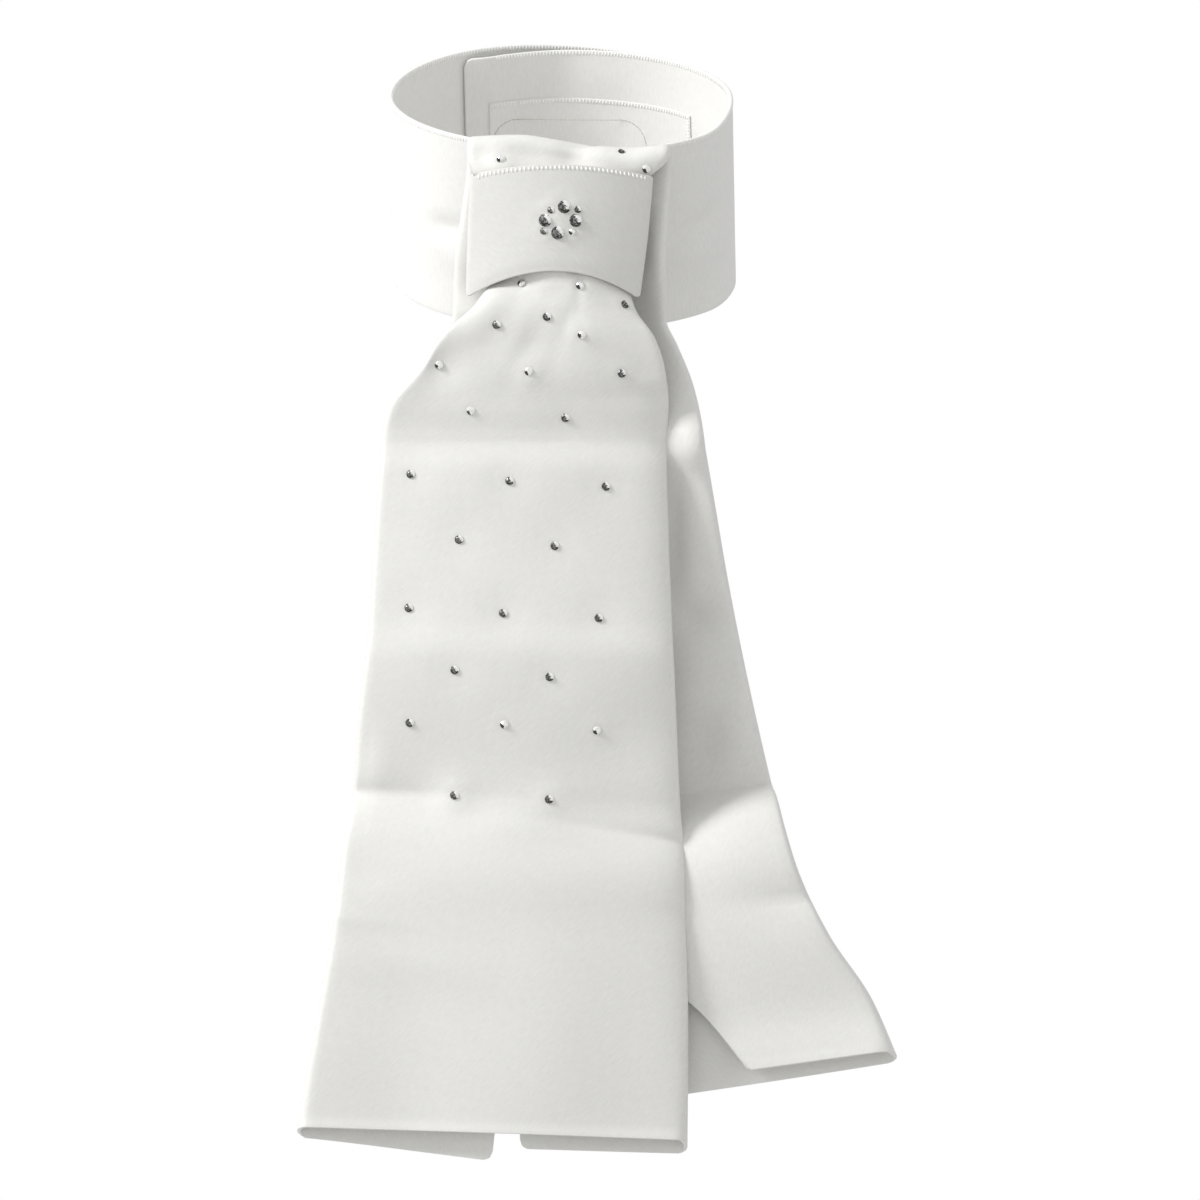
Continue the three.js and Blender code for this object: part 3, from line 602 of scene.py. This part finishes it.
def bring_to_stones(points, weight, seats, wall):
    """Moves the cloth so that its outer side passes just under each stone and rises a little round it."""
    for _ in range(SEAT_ROUNDS):
        for seat in seats:
            rise, aside = seat.around(points)
            movable = weight * (np.abs(rise) < SEAT_DEPTH)
            near = faded(aside, seat.half) * movable
            gap = -STONE_REST - wall / 2 - (rise * near).sum() / near.sum()
            share = faded(aside, SEAT_REACH) * movable
            points = points + (gap * share)[..., None] * seat.facing
    for seat in seats:
        rise, aside = seat.around(points)
        ring = faded(aside - PUCKER["ring"] * seat.half, PUCKER["width"] * seat.half)
        pucker = PUCKER["rise"] * ring * weight * (np.abs(rise) < PUCKER["depth"])
        points = points + pucker[..., None] * seat.facing
    return points


# Materials: each recipe takes the start of a material's nodes and gives its shader's sockets


class Shade:
    """A value in a material's nodes. Arithmetic on it adds Math nodes."""

    def __init__(self, tree, socket=None):
        self.tree = tree
        self.socket = socket

    def feed(self, node, inputs):
        """Sets a node's sockets to values, or links them."""
        for name, value in inputs.items():
            if isinstance(value, Shade):
                self.tree.links.new(value.socket, node.inputs[name])
            else:
                node.inputs[name].default_value = value

    def node(self, kind, settings=None, inputs=None, output=0):
        """Adds a node, with its settings made first and then its sockets' values or links."""
        made = self.tree.nodes.new(kind)
        for name, value in (settings or {}).items():
            setattr(made, name, value)
        self.feed(made, inputs or {})
        return Shade(self.tree, made.outputs[output])

    def maths(self, operation, *values):
        return self.node("ShaderNodeMath", {"operation": operation}, dict(enumerate(values)))

    def __add__(self, other):
        return self.maths("ADD", self, other)

    def __mul__(self, other):
        return self.maths("MULTIPLY", self, other)

    __radd__ = __add__
    __rmul__ = __mul__

    def between(self, dark, light):
        """A colour between two others, by this value."""
        sockets = {0: self, 6: dark, 7: light}
        return self.node("ShaderNodeMix", {"data_type": "RGBA"}, sockets, output=2)

    def stretched(self, size, turn=0.0):
        """These coordinates for a pattern whose cells have this size and this turn."""
        sockets = {0: self, "Rotation": (0, 0, turn), "Scale": size}
        return self.node("ShaderNodeMapping", {"vector_type": "TEXTURE"}, sockets)

    def on_object(self, size):
        """The object's own coordinates, for a pattern whose cells have this size every way."""
        return self.node("ShaderNodeTexCoord", output=3).stretched((size, size, size))

    def grain(self, detail):
        """Noise between 0 and 1 at these coordinates."""
        return self.node("ShaderNodeTexNoise", inputs={"Vector": self, "Scale": 1.0, "Detail": detail})

    def bump(self, strength, distance):
        """The bumps of this height, for a shader's Normal."""
        sockets = {"Strength": strength, "Distance": distance, "Height": self}
        return self.node("ShaderNodeBump", inputs=sockets)


def new_material(name, recipe, finish, node="Principled BSDF"):
    """A material in which a node's sockets take the values and patterns that a recipe gives."""
    material = bpy.data.materials.new(name)
    material.use_nodes = True
    start = Shade(material.node_tree)
    start.feed(start.tree.nodes[node], recipe(start, finish))
    return material


def rgba(colour, share=1.0):
    return (colour[0] * share, colour[1] * share, colour[2] * share, 1.0)


def woven(start, colour, roughness, turn, sheen):
    """Woven cloth, on its own map: floats, twill lines, slubs and a slow change, each with its share."""
    weave = start.node("ShaderNodeUVMap", {"uv_map": WEAVE})
    floats = weave.stretched((WEAVE_THREAD, 4.5 * WEAVE_THREAD, 1), turn).grain(1.0)
    twill = weave.stretched((2.1 * WEAVE_THREAD, 8 * WEAVE_THREAD, 1), turn).grain(2.0)
    slubs = weave.stretched((2.2 * WEAVE_THREAD, 30 * WEAVE_THREAD, 1)).grain(1.0)
    cloudy = weave.stretched((21 * MM, 21 * MM, 1)).grain(2.0)
    height = floats * 0.6 + twill * 0.5 + slubs * 0.25
    tone = floats * 0.3 + twill * 0.5 + slubs * 0.05 + cloudy * 0.15
    return {
        "Base Color": tone.between(rgba(colour, 0.86), rgba(colour, 1.1)),
        "Roughness": roughness - 0.05 + cloudy * 0.1,
        "Normal": height.bump(strength=0.2, distance=0.25 * MM),
        "Specular IOR Level": 0.42,
        "Sheen Weight": sheen,
        "Sheen Roughness": 0.3,
    }


def strip_satin(start, finish):
    return woven(start, finish.satin, finish.satin_roughness, SATIN_TURN, finish.sheen)


def wrap_satin_painted_shade(start, finish):
    """The same satin with its weave turned, made a little darker by a painted shade."""
    # Painted shade: the wrap's colour is the satin's, made darker.
    turned = [WRAP_PAINTED_SHADE * value for value in finish.satin]
    return woven(start, turned, finish.satin_roughness, WRAP_TURN, finish.sheen)


# The collar's cloth is set paler than the satin, partly as its own colour and partly as painted light that
# lifts the shade inside the collar.
def collar_cotton(start, finish):
    return woven(start, finish.cotton_with_painted_light, roughness=0.7, turn=0.0, sheen=0.1)


def twisted(start, colour, roughness, relief=0.0):
    """Twisted thread, with relief or too thin for it."""
    twist = start.on_object(THREAD_TWIST).grain(1.0)
    sockets = {
        "Base Color": twist.between(rgba(colour, 0.9), rgba(colour)),
        "Roughness": roughness + twist * 0.1,
    }
    if relief:
        sockets["Normal"] = twist.bump(relief, distance=0.1 * MM)
    return sockets


def sewing_thread(start, finish):
    """Overcasting thread: bright and slightly rough."""
    return twisted(start, finish.thread, roughness=0.5, relief=0.3)


def seam_thread(start, finish):
    """The darker thread of the closure's outline, sunk into the facing."""
    return twisted(start, finish.seam, roughness=0.7)


def closure_tape(start, finish):
    """Closure tape with a dense pile of small loops."""
    weave = start.node("ShaderNodeUVMap", {"uv_map": WEAVE})
    loops = weave.stretched((0.8 * MM, 0.8 * MM, 1)).grain(3.0)
    return {
        "Base Color": loops.between(rgba(finish.tape, 0.72), rgba(finish.tape)),
        "Roughness": 0.85 + loops * 0.1,
        "Normal": loops.bump(strength=0.9, distance=0.6 * MM),
    }


def cut_crystal_painted_light(start, finish):
    """Foil-backed cut glass: a facet shows its painted reflection or painted highlight tone, more or less as
    the foil's grain varies it.
    """
    tone = start.node("ShaderNodeAttribute", {"attribute_name": PAINTED_LIGHT_ATTRIBUTE}, output=2)
    foil = start.on_object(1.1 * MM).grain(1.0)
    shown = tone * (0.8 + foil * 0.4)
    return {
        "Base Color": shown.between(rgba(finish.crystal_painted_reflection), rgba(finish.crystal_painted_highlight)),
        "Metallic": 0.7,
        "Roughness": 0.12 + foil * 0.1,
        "IOR": 1.56,
        "Specular IOR Level": 0.3,
    }


def floor_paint(start, finish):
    """Pale matt paint with a faint change of tone."""
    cloudy = start.on_object(0.33).grain(2.0)
    return {
        "Base Color": cloudy.between(rgba(finish.floor, 0.985), rgba(finish.floor)),
        "Roughness": 0.7 + cloudy * 0.1,
    }


def backdrop_glow(start, finish):
    """A wall of even light behind the part."""
    light = {"Color": rgba(finish.backdrop), "Strength": 1.0}
    return {"Surface": start.node("ShaderNodeEmission", inputs=light)}


# Meshes


def finished(name, bm, material, smooth=True):
    """The object of a finished bmesh, at the origin, in the scene."""
    mesh = bpy.data.meshes.new(name)
    bm.to_mesh(mesh)
    bm.free()
    if smooth:
        mesh.shade_smooth()
    mesh.materials.append(material)
    piece = bpy.data.objects.new(name, mesh)
    bpy.context.scene.collection.objects.link(piece)
    return piece


def grid_of(across, up, steps):
    """Two grids of even values, each between two ends: one changes across the cloth, the other up it."""
    wide, high = steps
    return np.meshgrid(np.linspace(*across, wide + 1), np.linspace(*up, high + 1), indexing="ij")


def stretches(start, *steps):
    """Even places in each whole stretch after the start, with a number of steps for each stretch."""
    return np.concatenate([
        np.linspace(start + i, start + i + 1, count + 1)[1:] for i, count in enumerate(steps)])


def weave_map(points):
    """The cloth's own map in metres: distance across from the middle, and along from the first row."""
    across_steps = np.linalg.norm(np.diff(points, axis=0), axis=-1)
    across = np.concatenate((0 * across_steps[:1], np.cumsum(across_steps, axis=0)))
    across -= across[len(across) // 2]
    along_steps = np.linalg.norm(np.diff(points, axis=1), axis=-1).mean(axis=0)
    along = np.concatenate(((0,), np.cumsum(along_steps)))
    return np.stack((across, np.broadcast_to(along, across.shape)), axis=-1) * MM


def cloth(name, points, wall, material, loop=False):
    """A cloth wall: a grid on a surface's points, joined at its ends for a loop, with rounded edges."""
    wide, high = points.shape[:2]
    chart = weave_map(points)
    bm = bmesh.new()
    bmesh.ops.create_grid(bm, x_segments=wide - 1, y_segments=high - 1, size=1)
    if len(bm.verts) != wide * high:
        raise RuntimeError(f"{name}: the grid has {len(bm.verts)} corners, not {wide * high}")
    places = {}
    for vert in bm.verts:
        place = (round((vert.co.x + 1) / 2 * (wide - 1)), round((vert.co.y + 1) / 2 * (high - 1)))
        places[vert] = place
        vert.co = points[place] * MM
    layer = bm.loops.layers.uv.new(WEAVE)
    for face in bm.faces:
        for corner in face.loops:
            corner[layer].uv = chart[places[corner.vert]]
    if loop:
        bmesh.ops.remove_doubles(bm, verts=bm.verts, dist=LOOP_JOIN * MM)
    piece = finished(name, bm, material)
    thickness = piece.modifiers.new("wall", "SOLIDIFY")
    thickness.thickness, thickness.offset = wall, 0
    rounding = piece.modifiers.new("edge", "BEVEL")
    rounding.width, rounding.segments = EDGE_ROUNDING * MM, 3
    rounding.limit_method, rounding.angle_limit = "ANGLE", EDGE_ANGLE
    return piece


def dress(piece, slot, *nodes):
    """Rides a piece on the body and hides the nodes that it stands for; the slot is not used."""
    if nodes:
        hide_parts(*nodes)
    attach(piece, BODY)


def stitch_line(name, rows, thread, material):
    """Small beads of thread, each from one place to another, joined into one piece."""
    bm = bmesh.new()
    for start, end in rows:
        start, end = Vector(start) * MM, Vector(end) * MM
        run = end - start
        turn = run.to_track_quat("Z", "Y").to_matrix().to_4x4()
        size = Matrix.Diagonal((thread / 2, thread / 2, run.length / 2 + thread / 3, 1))
        place = Matrix.Translation((start + end) / 2) @ turn @ size
        bmesh.ops.create_icosphere(bm, subdivisions=1, radius=1, matrix=place)
    return finished(name, bm, material)


def spaced(places, pitch, *others):
    """A line's places, and other values along it, at even steps of about a pitch."""
    steps = np.concatenate(((0,), np.cumsum(np.linalg.norm(np.diff(places, axis=0), axis=1))))
    stations = np.linspace(0, steps[-1], max(2, int(steps[-1] / pitch)))
    return [
        np.stack([np.interp(stations, steps, values[:, c]) for c in range(3)], axis=-1)
        for values in (places, *others)
    ]


def whipped(places, downs, pitch, length):
    """Separate slanting stitches over an edge: each starts on the line and ends a length down from it."""
    spots, falls = spaced(places, pitch, downs)
    lean = np.diff(spots, axis=0, append=spots[-1:]) * WHIP_LEAN
    return list(zip(spots, spots + falls * length + lean))


def running(places, pitch):
    """Stitches end to end along a line."""
    spots = spaced(places, pitch)[0]
    return list(zip(spots[:-1], spots[1:]))


# Sizes and colours that a user may change


def size_prop(name, description, size):
    """A size, given in mm."""
    return FloatProperty(name=name, description=description, default=size * MM, unit="LENGTH")


def share_prop(name, description, value):
    return FloatProperty(name=name, description=description, default=value, subtype="FACTOR")


def colour_prop(name, description, *value):
    return FloatVectorProperty(name=name, description=description, default=value, subtype="COLOR")


class StockTieSizes(bpy.types.PropertyGroup):
    collar_wall: size_prop("Collar wall", "Thickness of the collar band", 1.3)
    satin_wall: size_prop("Satin", "Thickness of the doubled satin", 1.2)
    facing_wall: size_prop("Facing", "Thickness of the back facing", 0.6)
    patch_wall: size_prop("Closure", "Thickness of the closure patch", 1.6)
    stitch_pitch: size_prop("Stitch pitch", "Distance between overcast stitches", 1.15)
    stitch_length: size_prop("Stitch length", "Length of an overcast stitch", 1.5)
    thread: size_prop("Thread", "Diameter of the sewing thread", 0.55)
    whip_length: size_prop("Whip stitch", "Length of the wrap's stitches", 1.2)
    whip_thread: size_prop("Whip thread", "Diameter of the wrap's stitches", 0.8)


class StockTieFinish(bpy.types.PropertyGroup):
    satin: colour_prop("Satin", "Colour of the satin", 0.742, 0.738, 0.708)
    satin_roughness: share_prop("Satin roughness", "How soft the satin's gloss is", 0.5)
    sheen: share_prop("Sheen", "Light rim along the satin's edges", 0.25)
    # Partly the collar's own colour, partly painted light against the shade inside the collar.
    cotton_with_painted_light: colour_prop("Cotton", "Colour of the collar's cloth", 0.79, 0.786, 0.764)
    seam: colour_prop("Seam", "Colour of the closure's outline", 0.56, 0.55, 0.5)
    thread: colour_prop("Thread", "Colour of the thread", 0.95, 0.95, 0.93)
    tape: colour_prop("Closure tape", "Colour of the closure", 0.66, 0.66, 0.645)
    # The crystal's facets are painted between these: a painted highlight and a dark painted reflection.
    crystal_painted_highlight: colour_prop("Crystal light", "Tone of a bright facet", 1.0, 1.0, 0.99)
    crystal_painted_reflection: colour_prop("Crystal dark", "Tone of a dark facet", 0.012, 0.012, 0.01)
    floor: colour_prop("Floor", "Colour of the floor", 0.6, 0.6, 0.6)
    backdrop: colour_prop("Backdrop", "Colour behind the part", 1.0, 1.0, 1.0)


class StockTieStudio(bpy.types.PropertyGroup):
    key_power: FloatProperty(
        name="Key light", description="Power of the light from the upper left", default=134.0, unit="POWER")
    ambient: share_prop("Ambient", "Strength of the light from all round", 0.765)


class StockTiePiece(bpy.types.Operator):
    """Shared by the operators of this file"""

    bl_options = {"REGISTER", "UNDO"}

    @property
    def sizes(self):
        return bpy.context.scene.stock_tie_sizes

    def material(self, recipe):
        """The material that a recipe gives, made once."""
        name, finish = f"stock_tie_{recipe.__name__}", bpy.context.scene.stock_tie_finish
        return bpy.data.materials.get(name) or new_material(name, recipe, finish)


class STOCKTIE_OT_stage(bpy.types.Operator):
    """Sets the camera, the floor, the white backdrop and the soft light"""

    bl_idname = "stocktie.stage"
    bl_label = "Stage"

    def camera(self, scene):
        data = bpy.data.cameras.new("camera")
        data.sensor_width = SENSOR_WIDTH
        data.lens = SENSOR_WIDTH * CAMERA_DISTANCE / VIEW_WIDTH
        camera = bpy.data.objects.new("camera", data)
        back = Vector((0, -math.cos(CAMERA_RISE), math.sin(CAMERA_RISE)))
        camera.location = CAMERA_TARGET + back * CAMERA_DISTANCE
        camera.rotation_euler = (math.pi / 2 - CAMERA_RISE, 0, 0)
        scene.collection.objects.link(camera)
        scene.camera = camera

    def floor(self, finish):
        bm = bmesh.new()
        place = Matrix.Translation((0, 0, FLOOR_HEIGHT))
        bmesh.ops.create_circle(bm, cap_ends=True, radius=FLOOR_RADIUS, segments=96, matrix=place)
        finished("floor", bm, new_material("floor_paint", floor_paint, finish))

    def backdrop(self, finish):
        """A wide shell that only the camera sees."""
        bm = bmesh.new()
        bmesh.ops.create_icosphere(bm, subdivisions=4, radius=BACKDROP_RADIUS)
        bmesh.ops.reverse_faces(bm, faces=bm.faces)
        glow = new_material("backdrop_glow", backdrop_glow, finish, "Material Output")
        shell = finished("backdrop", bm, glow)
        shell.visible_diffuse = shell.visible_glossy = False
        shell.visible_transmission = shell.visible_shadow = False

    def key_light(self, scene, power):
        data = bpy.data.lights.new("key", "AREA")
        data.shape, data.size, data.energy = "DISK", KEY_SIZE, power
        lamp = bpy.data.objects.new("key", data)
        lamp.location = KEY_PLACE
        lamp.rotation_euler = (KEY_AIM - KEY_PLACE).to_track_quat("-Z", "Y").to_euler()
        scene.collection.objects.link(lamp)

    def ambient_light(self, scene, strength):
        world = bpy.data.worlds.new("studio")
        world.use_nodes = True
        sky = world.node_tree.nodes["Background"]
        sky.inputs["Color"].default_value = (1, 1, 1, 1)
        sky.inputs["Strength"].default_value = strength
        scene.world = world

    def execute(self, context):
        scene = context.scene
        self.camera(scene)
        self.floor(scene.stock_tie_finish)
        self.backdrop(scene.stock_tie_finish)
        self.key_light(scene, scene.stock_tie_studio.key_power)
        self.ambient_light(scene, scene.stock_tie_studio.ambient)
        scene.view_settings.view_transform = "Standard"
        return {"FINISHED"}


class STOCKTIE_OT_neck_band(StockTiePiece):
    """Rolls the collar band round the neck, its ends overlapping at the back"""

    bl_idname = "stocktie.neck_band"
    bl_label = "Neck band"

    def execute(self, context):
        start, end = BAND_ROWS[0][0], BAND_ROWS[-1][0]
        angle, share = grid_of((start, end), (0, 1), BAND_STEPS)
        radius, drop = BAND(angle)["radius"], BAND(angle)["drop"]
        corner = corner_lift((end - angle) * DEGREE * radius, END_CORNER)
        low = -COLLAR_HEIGHT / 2 - COLLAR_LOW_DROP * drop
        height = low + (COLLAR_HEIGHT / 2 - drop - corner - low) * share
        points = on_collar(angle, band_radius(angle, height), height)
        band = cloth("neck_band_cotton", points, self.sizes.collar_wall, self.material(collar_cotton))
        dress(band, "satin", "neck_band")
        cut = ((end - start) * DEGREE * CUT_RADIUS * MM, COLLAR_HEIGHT * MM)
        return {"FINISHED"}


class STOCKTIE_OT_back_facing(StockTiePiece):
    """Lays the facing inside the band's back"""

    bl_idname = "stocktie.back_facing"
    bl_label = "Back facing"

    def execute(self, context):
        start, end, low, high = (FACING[key] for key in ("from", "to", "low", "high"))
        angle, height = grid_of((start, end), (low, high), FACING_STEPS)
        points = on_collar(angle, band_radius(angle, height) - FACING["inside"], height)
        facing = cloth("back_facing_cotton", points, self.sizes.facing_wall, self.material(collar_cotton))
        dress(facing, "satin", "back_facing")
        width = (end - start) * DEGREE * (BAND_ROWS[-2][1] - FACING["inside"])
        return {"FINISHED"}


class STOCKTIE_OT_closure_patch(StockTiePiece):
    """Puts the closure tape between the band's overlapping ends"""

    bl_idname = "stocktie.closure_patch"
    bl_label = "Closure patch"

    def execute(self, context):
        angle, height = grid_of((PATCH["from"], PATCH["to"]), (PATCH["low"], PATCH["high"]), PATCH_STEPS)
        points = on_collar(angle, 0 * angle + PATCH["radius"], height)
        patch = cloth("closure_patch_tape", points, self.sizes.patch_wall, self.material(closure_tape))
        dress(patch, "closure_tape", "closure_patch")
        return {"FINISHED"}


class STOCKTIE_OT_tail_strip(StockTiePiece):
    """Folds the long strip over the collar, with its sides turned in, as the front and rear tails"""

    bl_idname = "stocktie.tail_strip"
    bl_label = "Tail strip"

    def execute(self, context):
        flap = np.concatenate((FLAP_PLACES, np.linspace(FLAP_PLACES[-1], 1, FLAP_STEPS + 1)[1:]))
        q = np.concatenate((flap, stretches(1, ROLL_STEPS, FACE_STEPS, ROLL_STEPS), 5 - flap[::-1][1:]))
        front = np.arange(0, FOLD_END, FRONT_PITCH)
        rear = np.linspace(FOLD_END, STRIP_LENGTH, int((STRIP_LENGTH - FOLD_END) / REAR_PITCH) + 1)
        q, at = np.meshgrid(q, np.concatenate((front, rear)), indexing="ij")
        weight = on_face(q) * (at < FOLD_TOP + PAST_FOLD)
        points = bring_to_stones(strip_points(q, at), weight, STRIP_SEATS, self.sizes.satin_wall / MM)
        strip = cloth("tail_strip_satin", points, self.sizes.satin_wall, self.material(strip_satin))
        dress(strip, "satin", "tail_strip")
        return {"FINISHED"}


class STOCKTIE_OT_knot_wrap(StockTiePiece):
    """Wraps the loop of satin round the front tail"""

    bl_idname = "stocktie.knot_wrap"
    bl_label = "Knot wrap"

    def execute(self, context):
        front, side, back, high = WRAP_STEPS
        q = np.concatenate(((0,), stretches(0, front, side, back, side)))
        q, share = np.meshgrid(q, np.linspace(0, 1, high + 1), indexing="ij")
        weight = np.clip(np.minimum(q, 1 - q) / WRAP_SEAT_FADE, 0, 1)
        points = bring_to_stones(wrap_points(q, share), weight, RING_SEATS, self.sizes.satin_wall / MM)
        wrap = cloth("knot_wrap_satin", points, self.sizes.satin_wall, self.material(wrap_satin_painted_shade), loop=True)
        dress(wrap, "satin", "knot_wrap")
        return {"FINISHED"}


class STOCKTIE_OT_stitches(StockTiePiece):
    """Overcasts the cloth's edges and sews the outline of the closure"""

    bl_idname = "stocktie.stitches"
    bl_label = "Stitches"

    def overcast(self, places, downs, share):
        """Stitches with this share of the common length."""
        return whipped(places, downs, self.sizes.stitch_pitch / MM, self.sizes.stitch_length / MM * share)

    def band_rows(self):
        """Stitches over both sides of the band's top edge."""
        angle = np.linspace(-BAND_SEWN["angle"], BAND_SEWN["angle"], BAND_SEWN["places"])
        height = COLLAR_HEIGHT / 2 - BAND(angle)["drop"] - BAND_SEWN["below_top"]
        rows = []
        for side in (-1, 1):
            radius = band_radius(angle, height) + side * self.sizes.collar_wall / MM / 2
            top = on_collar(angle, radius, height)
            rows += self.overcast(top, on_collar(angle, radius, height - 1) - top, BAND_SEWN["share"])
        return rows

    def on_facing(self, angle, height):
        """Places on the facing's inner side."""
        depth = FACING["inside"] + self.sizes.facing_wall / MM / 2 + FACING_SEWN["proud"]
        return on_collar(angle, band_radius(angle, height) - depth, height)

    def facing_rows(self):
        """Stitches over the facing's top edge and down the side where it starts."""
        inset, top, side = FACING_SEWN["short_of_ends"], FACING_TOP_SEWN, FACING_SIDE_SEWN
        angle = np.linspace(FACING["from"] + inset, FACING["to"] - inset, top["places"])
        height = 0 * angle + FACING["high"] - top["below"]
        edge = self.on_facing(angle, height)
        rows = self.overcast(edge, self.on_facing(angle, height - 1) - edge, top["share"])
        height = np.linspace(FACING["low"] + inset, FACING["high"] - inset, side["places"])
        angle = 0 * height + FACING["from"] + side["beside"]
        edge = self.on_facing(angle, height)
        return rows + self.overcast(edge, self.on_facing(angle + 1, height) - edge, side["share"])

    def closure_rows(self):
        """The rounded line of stitches that shows where the closure is sewn on."""
        seam, radius = PATCH_SEAM, BAND(180)["radius"]
        reach = (seam["to"] - seam["from"]) * DEGREE * radius
        low, high, corner = seam["low"], seam["high"], seam["corner"]
        turns = np.linspace(0, 90, seam["corner_places"]) * DEGREE
        out, up = corner * np.cos(turns), corner * np.sin(turns)
        across = np.concatenate(((0,), corner - out, (reach - corner,), reach - corner + up, (reach,)))
        height = np.concatenate(((low,), high - corner + up, (high,), high - corner + out, (low,)))
        return running(self.on_facing(seam["from"] + across / radius / DEGREE, height), SEAM_PITCH)

    def wrap_rows(self):
        """Stitches over the wrap's top edge."""
        q = np.linspace(WRAP_SEWN["from"], WRAP_SEWN["to"], WRAP_SEWN["places"])
        share, step = 0 * q + WRAP_SEWN["up"], WRAP_SEWN["step"]
        section = frame_of(WRAP, 0 * q + WRAP_HEIGHT)
        edge = wrap_points(q, share)
        top = edge - section["inward"] * (self.sizes.satin_wall / MM / 2)
        downs = (wrap_points(q, share - step) - edge) / (step * WRAP_HEIGHT)
        return whipped(top, downs, WHIP_PITCH, self.sizes.whip_length / MM)

    def execute(self, context):
        thread, whip_thread = self.sizes.thread, self.sizes.whip_thread
        for name, rows, thickness, recipe in (
            ("band_overcast", self.band_rows(), thread, sewing_thread),
            ("facing_overcast", self.facing_rows(), thread, sewing_thread),
            ("closure_outline", self.closure_rows(), thread * SEAM_THREAD_SHARE, seam_thread),
            ("wrap_overcast", self.wrap_rows(), whip_thread, sewing_thread),
        ):
            dress(stitch_line(name, rows, thickness, self.material(recipe)), "satin")
        return {"FINISHED"}


class STOCKTIE_OT_crystals(StockTiePiece):
    """Cuts each stone and sets it where its node lies"""

    bl_idname = "stocktie.crystals"
    bl_label = "Crystals"

    def painted_facet_light(self, share, across, i, painted_lit):
        """A facet's painted tone by its height and its place across: a grey girdle, the stones painted lit
        with painted shade away from the light, a painted highlight towards the light, else dark painted
        reflections by turns.
        """
        radius = across.length
        toward_light = across.dot(STONE_LIGHT) / max(radius, 1e-6)
        aside = radius > MIDDLE_RADIUS
        if share < GIRDLE["below"] and radius > GIRDLE["beyond"]:
            return GIRDLE["tone"]
        if painted_lit:
            return PAINTED_LIT_TONES["shade"] if toward_light < PAINTED_LIT_TONES["shade_from"] and aside else PAINTED_LIT_TONES["tone"]
        if aside and toward_light > PAINTED_HIGHLIGHT["from"]:
            return PAINTED_HIGHLIGHT["tone"]
        tones = TABLE_PAINTED_REFLECTIONS if radius < TABLE_RADIUS else FACET_PAINTED_REFLECTIONS
        return tones[i % len(tones)]

    def stone(self, seat, turn, painted_lit):
        """A cut stone with a table, star facets, main facets and girdle facets, flat behind."""
        bm = bmesh.new()
        height, half = seat.height * MM, seat.half * MM
        for radius, share, corners, halves in STONE_RINGS:
            spin = Matrix.Rotation(halves * math.pi / FACETS + turn, 4, "Z")
            place = Matrix.Translation((0, 0, share * height)) @ spin
            bmesh.ops.create_circle(bm, segments=corners * FACETS, radius=radius * half, matrix=place)
        bmesh.ops.convex_hull(bm, input=bm.verts)
        loose = [edge for edge in bm.edges if not edge.link_faces]
        bmesh.ops.delete(bm, geom=loose, context="EDGES")
        bmesh.ops.recalc_face_normals(bm, faces=bm.faces)
        table = [face for face in bm.faces if face.normal.z > TABLE_UP]
        bmesh.ops.poke(bm, faces=table)
        # Each face's colour is a painted reflection or painted highlight, kept as a face attribute.
        tone = bm.faces.layers.float.new(PAINTED_LIGHT_ATTRIBUTE)
        for i, face in enumerate(bm.faces):
            middle = face.calc_center_median()
            face[tone] = self.painted_facet_light(middle.z / height, middle.xy / half, i, painted_lit)
        bmesh.ops.transform(bm, matrix=seat.placing(), verts=bm.verts)
        return bm

    def execute(self, context):
        material = self.material(cut_crystal_painted_light)
        for i, (node, seat) in enumerate(SEATS.items()):
            turn = (i * STONE_TURN % 1) * 2 * math.pi / FACETS
            bm = self.stone(seat, turn, node in PAINTED_LIT_STONES)
            dress(finished(f"{node}_cut", bm, material, smooth=False), "crystal", node)
        return {"FINISHED"}


STEPS = (
    STOCKTIE_OT_stage, STOCKTIE_OT_neck_band, STOCKTIE_OT_back_facing, STOCKTIE_OT_closure_patch,
    STOCKTIE_OT_tail_strip, STOCKTIE_OT_knot_wrap, STOCKTIE_OT_stitches, STOCKTIE_OT_crystals,
)


class STOCKTIE_PT_panel(bpy.types.Panel):
    """Lists the steps that build the stock tie"""

    bl_idname = "STOCKTIE_PT_panel"
    bl_label = "Stock tie"
    bl_space_type = "VIEW_3D"
    bl_region_type = "UI"
    bl_category = "Stock tie"

    def draw(self, context):
        scene = context.scene
        for group in (scene.stock_tie_sizes, scene.stock_tie_finish, scene.stock_tie_studio):
            box = self.layout.box()
            for name in group.__annotations__:
                box.prop(group, name)
        for step in STEPS:
            self.layout.operator(step.bl_idname)


CLASSES = (StockTieSizes, StockTieFinish, StockTieStudio, *STEPS, STOCKTIE_PT_panel)


def register():
    for item in CLASSES:
        bpy.utils.register_class(item)
    bpy.types.Scene.stock_tie_sizes = PointerProperty(type=StockTieSizes)
    bpy.types.Scene.stock_tie_finish = PointerProperty(type=StockTieFinish)
    bpy.types.Scene.stock_tie_studio = PointerProperty(type=StockTieStudio)


def unregister():
    del bpy.types.Scene.stock_tie_studio
    del bpy.types.Scene.stock_tie_finish
    del bpy.types.Scene.stock_tie_sizes
    for item in reversed(CLASSES):
        bpy.utils.unregister_class(item)


def main():
    register()
    for step in STEPS:
        group, name = step.bl_idname.split(".")
        getattr(getattr(bpy.ops, group), name)()


if __name__ == "__main__":
    main()
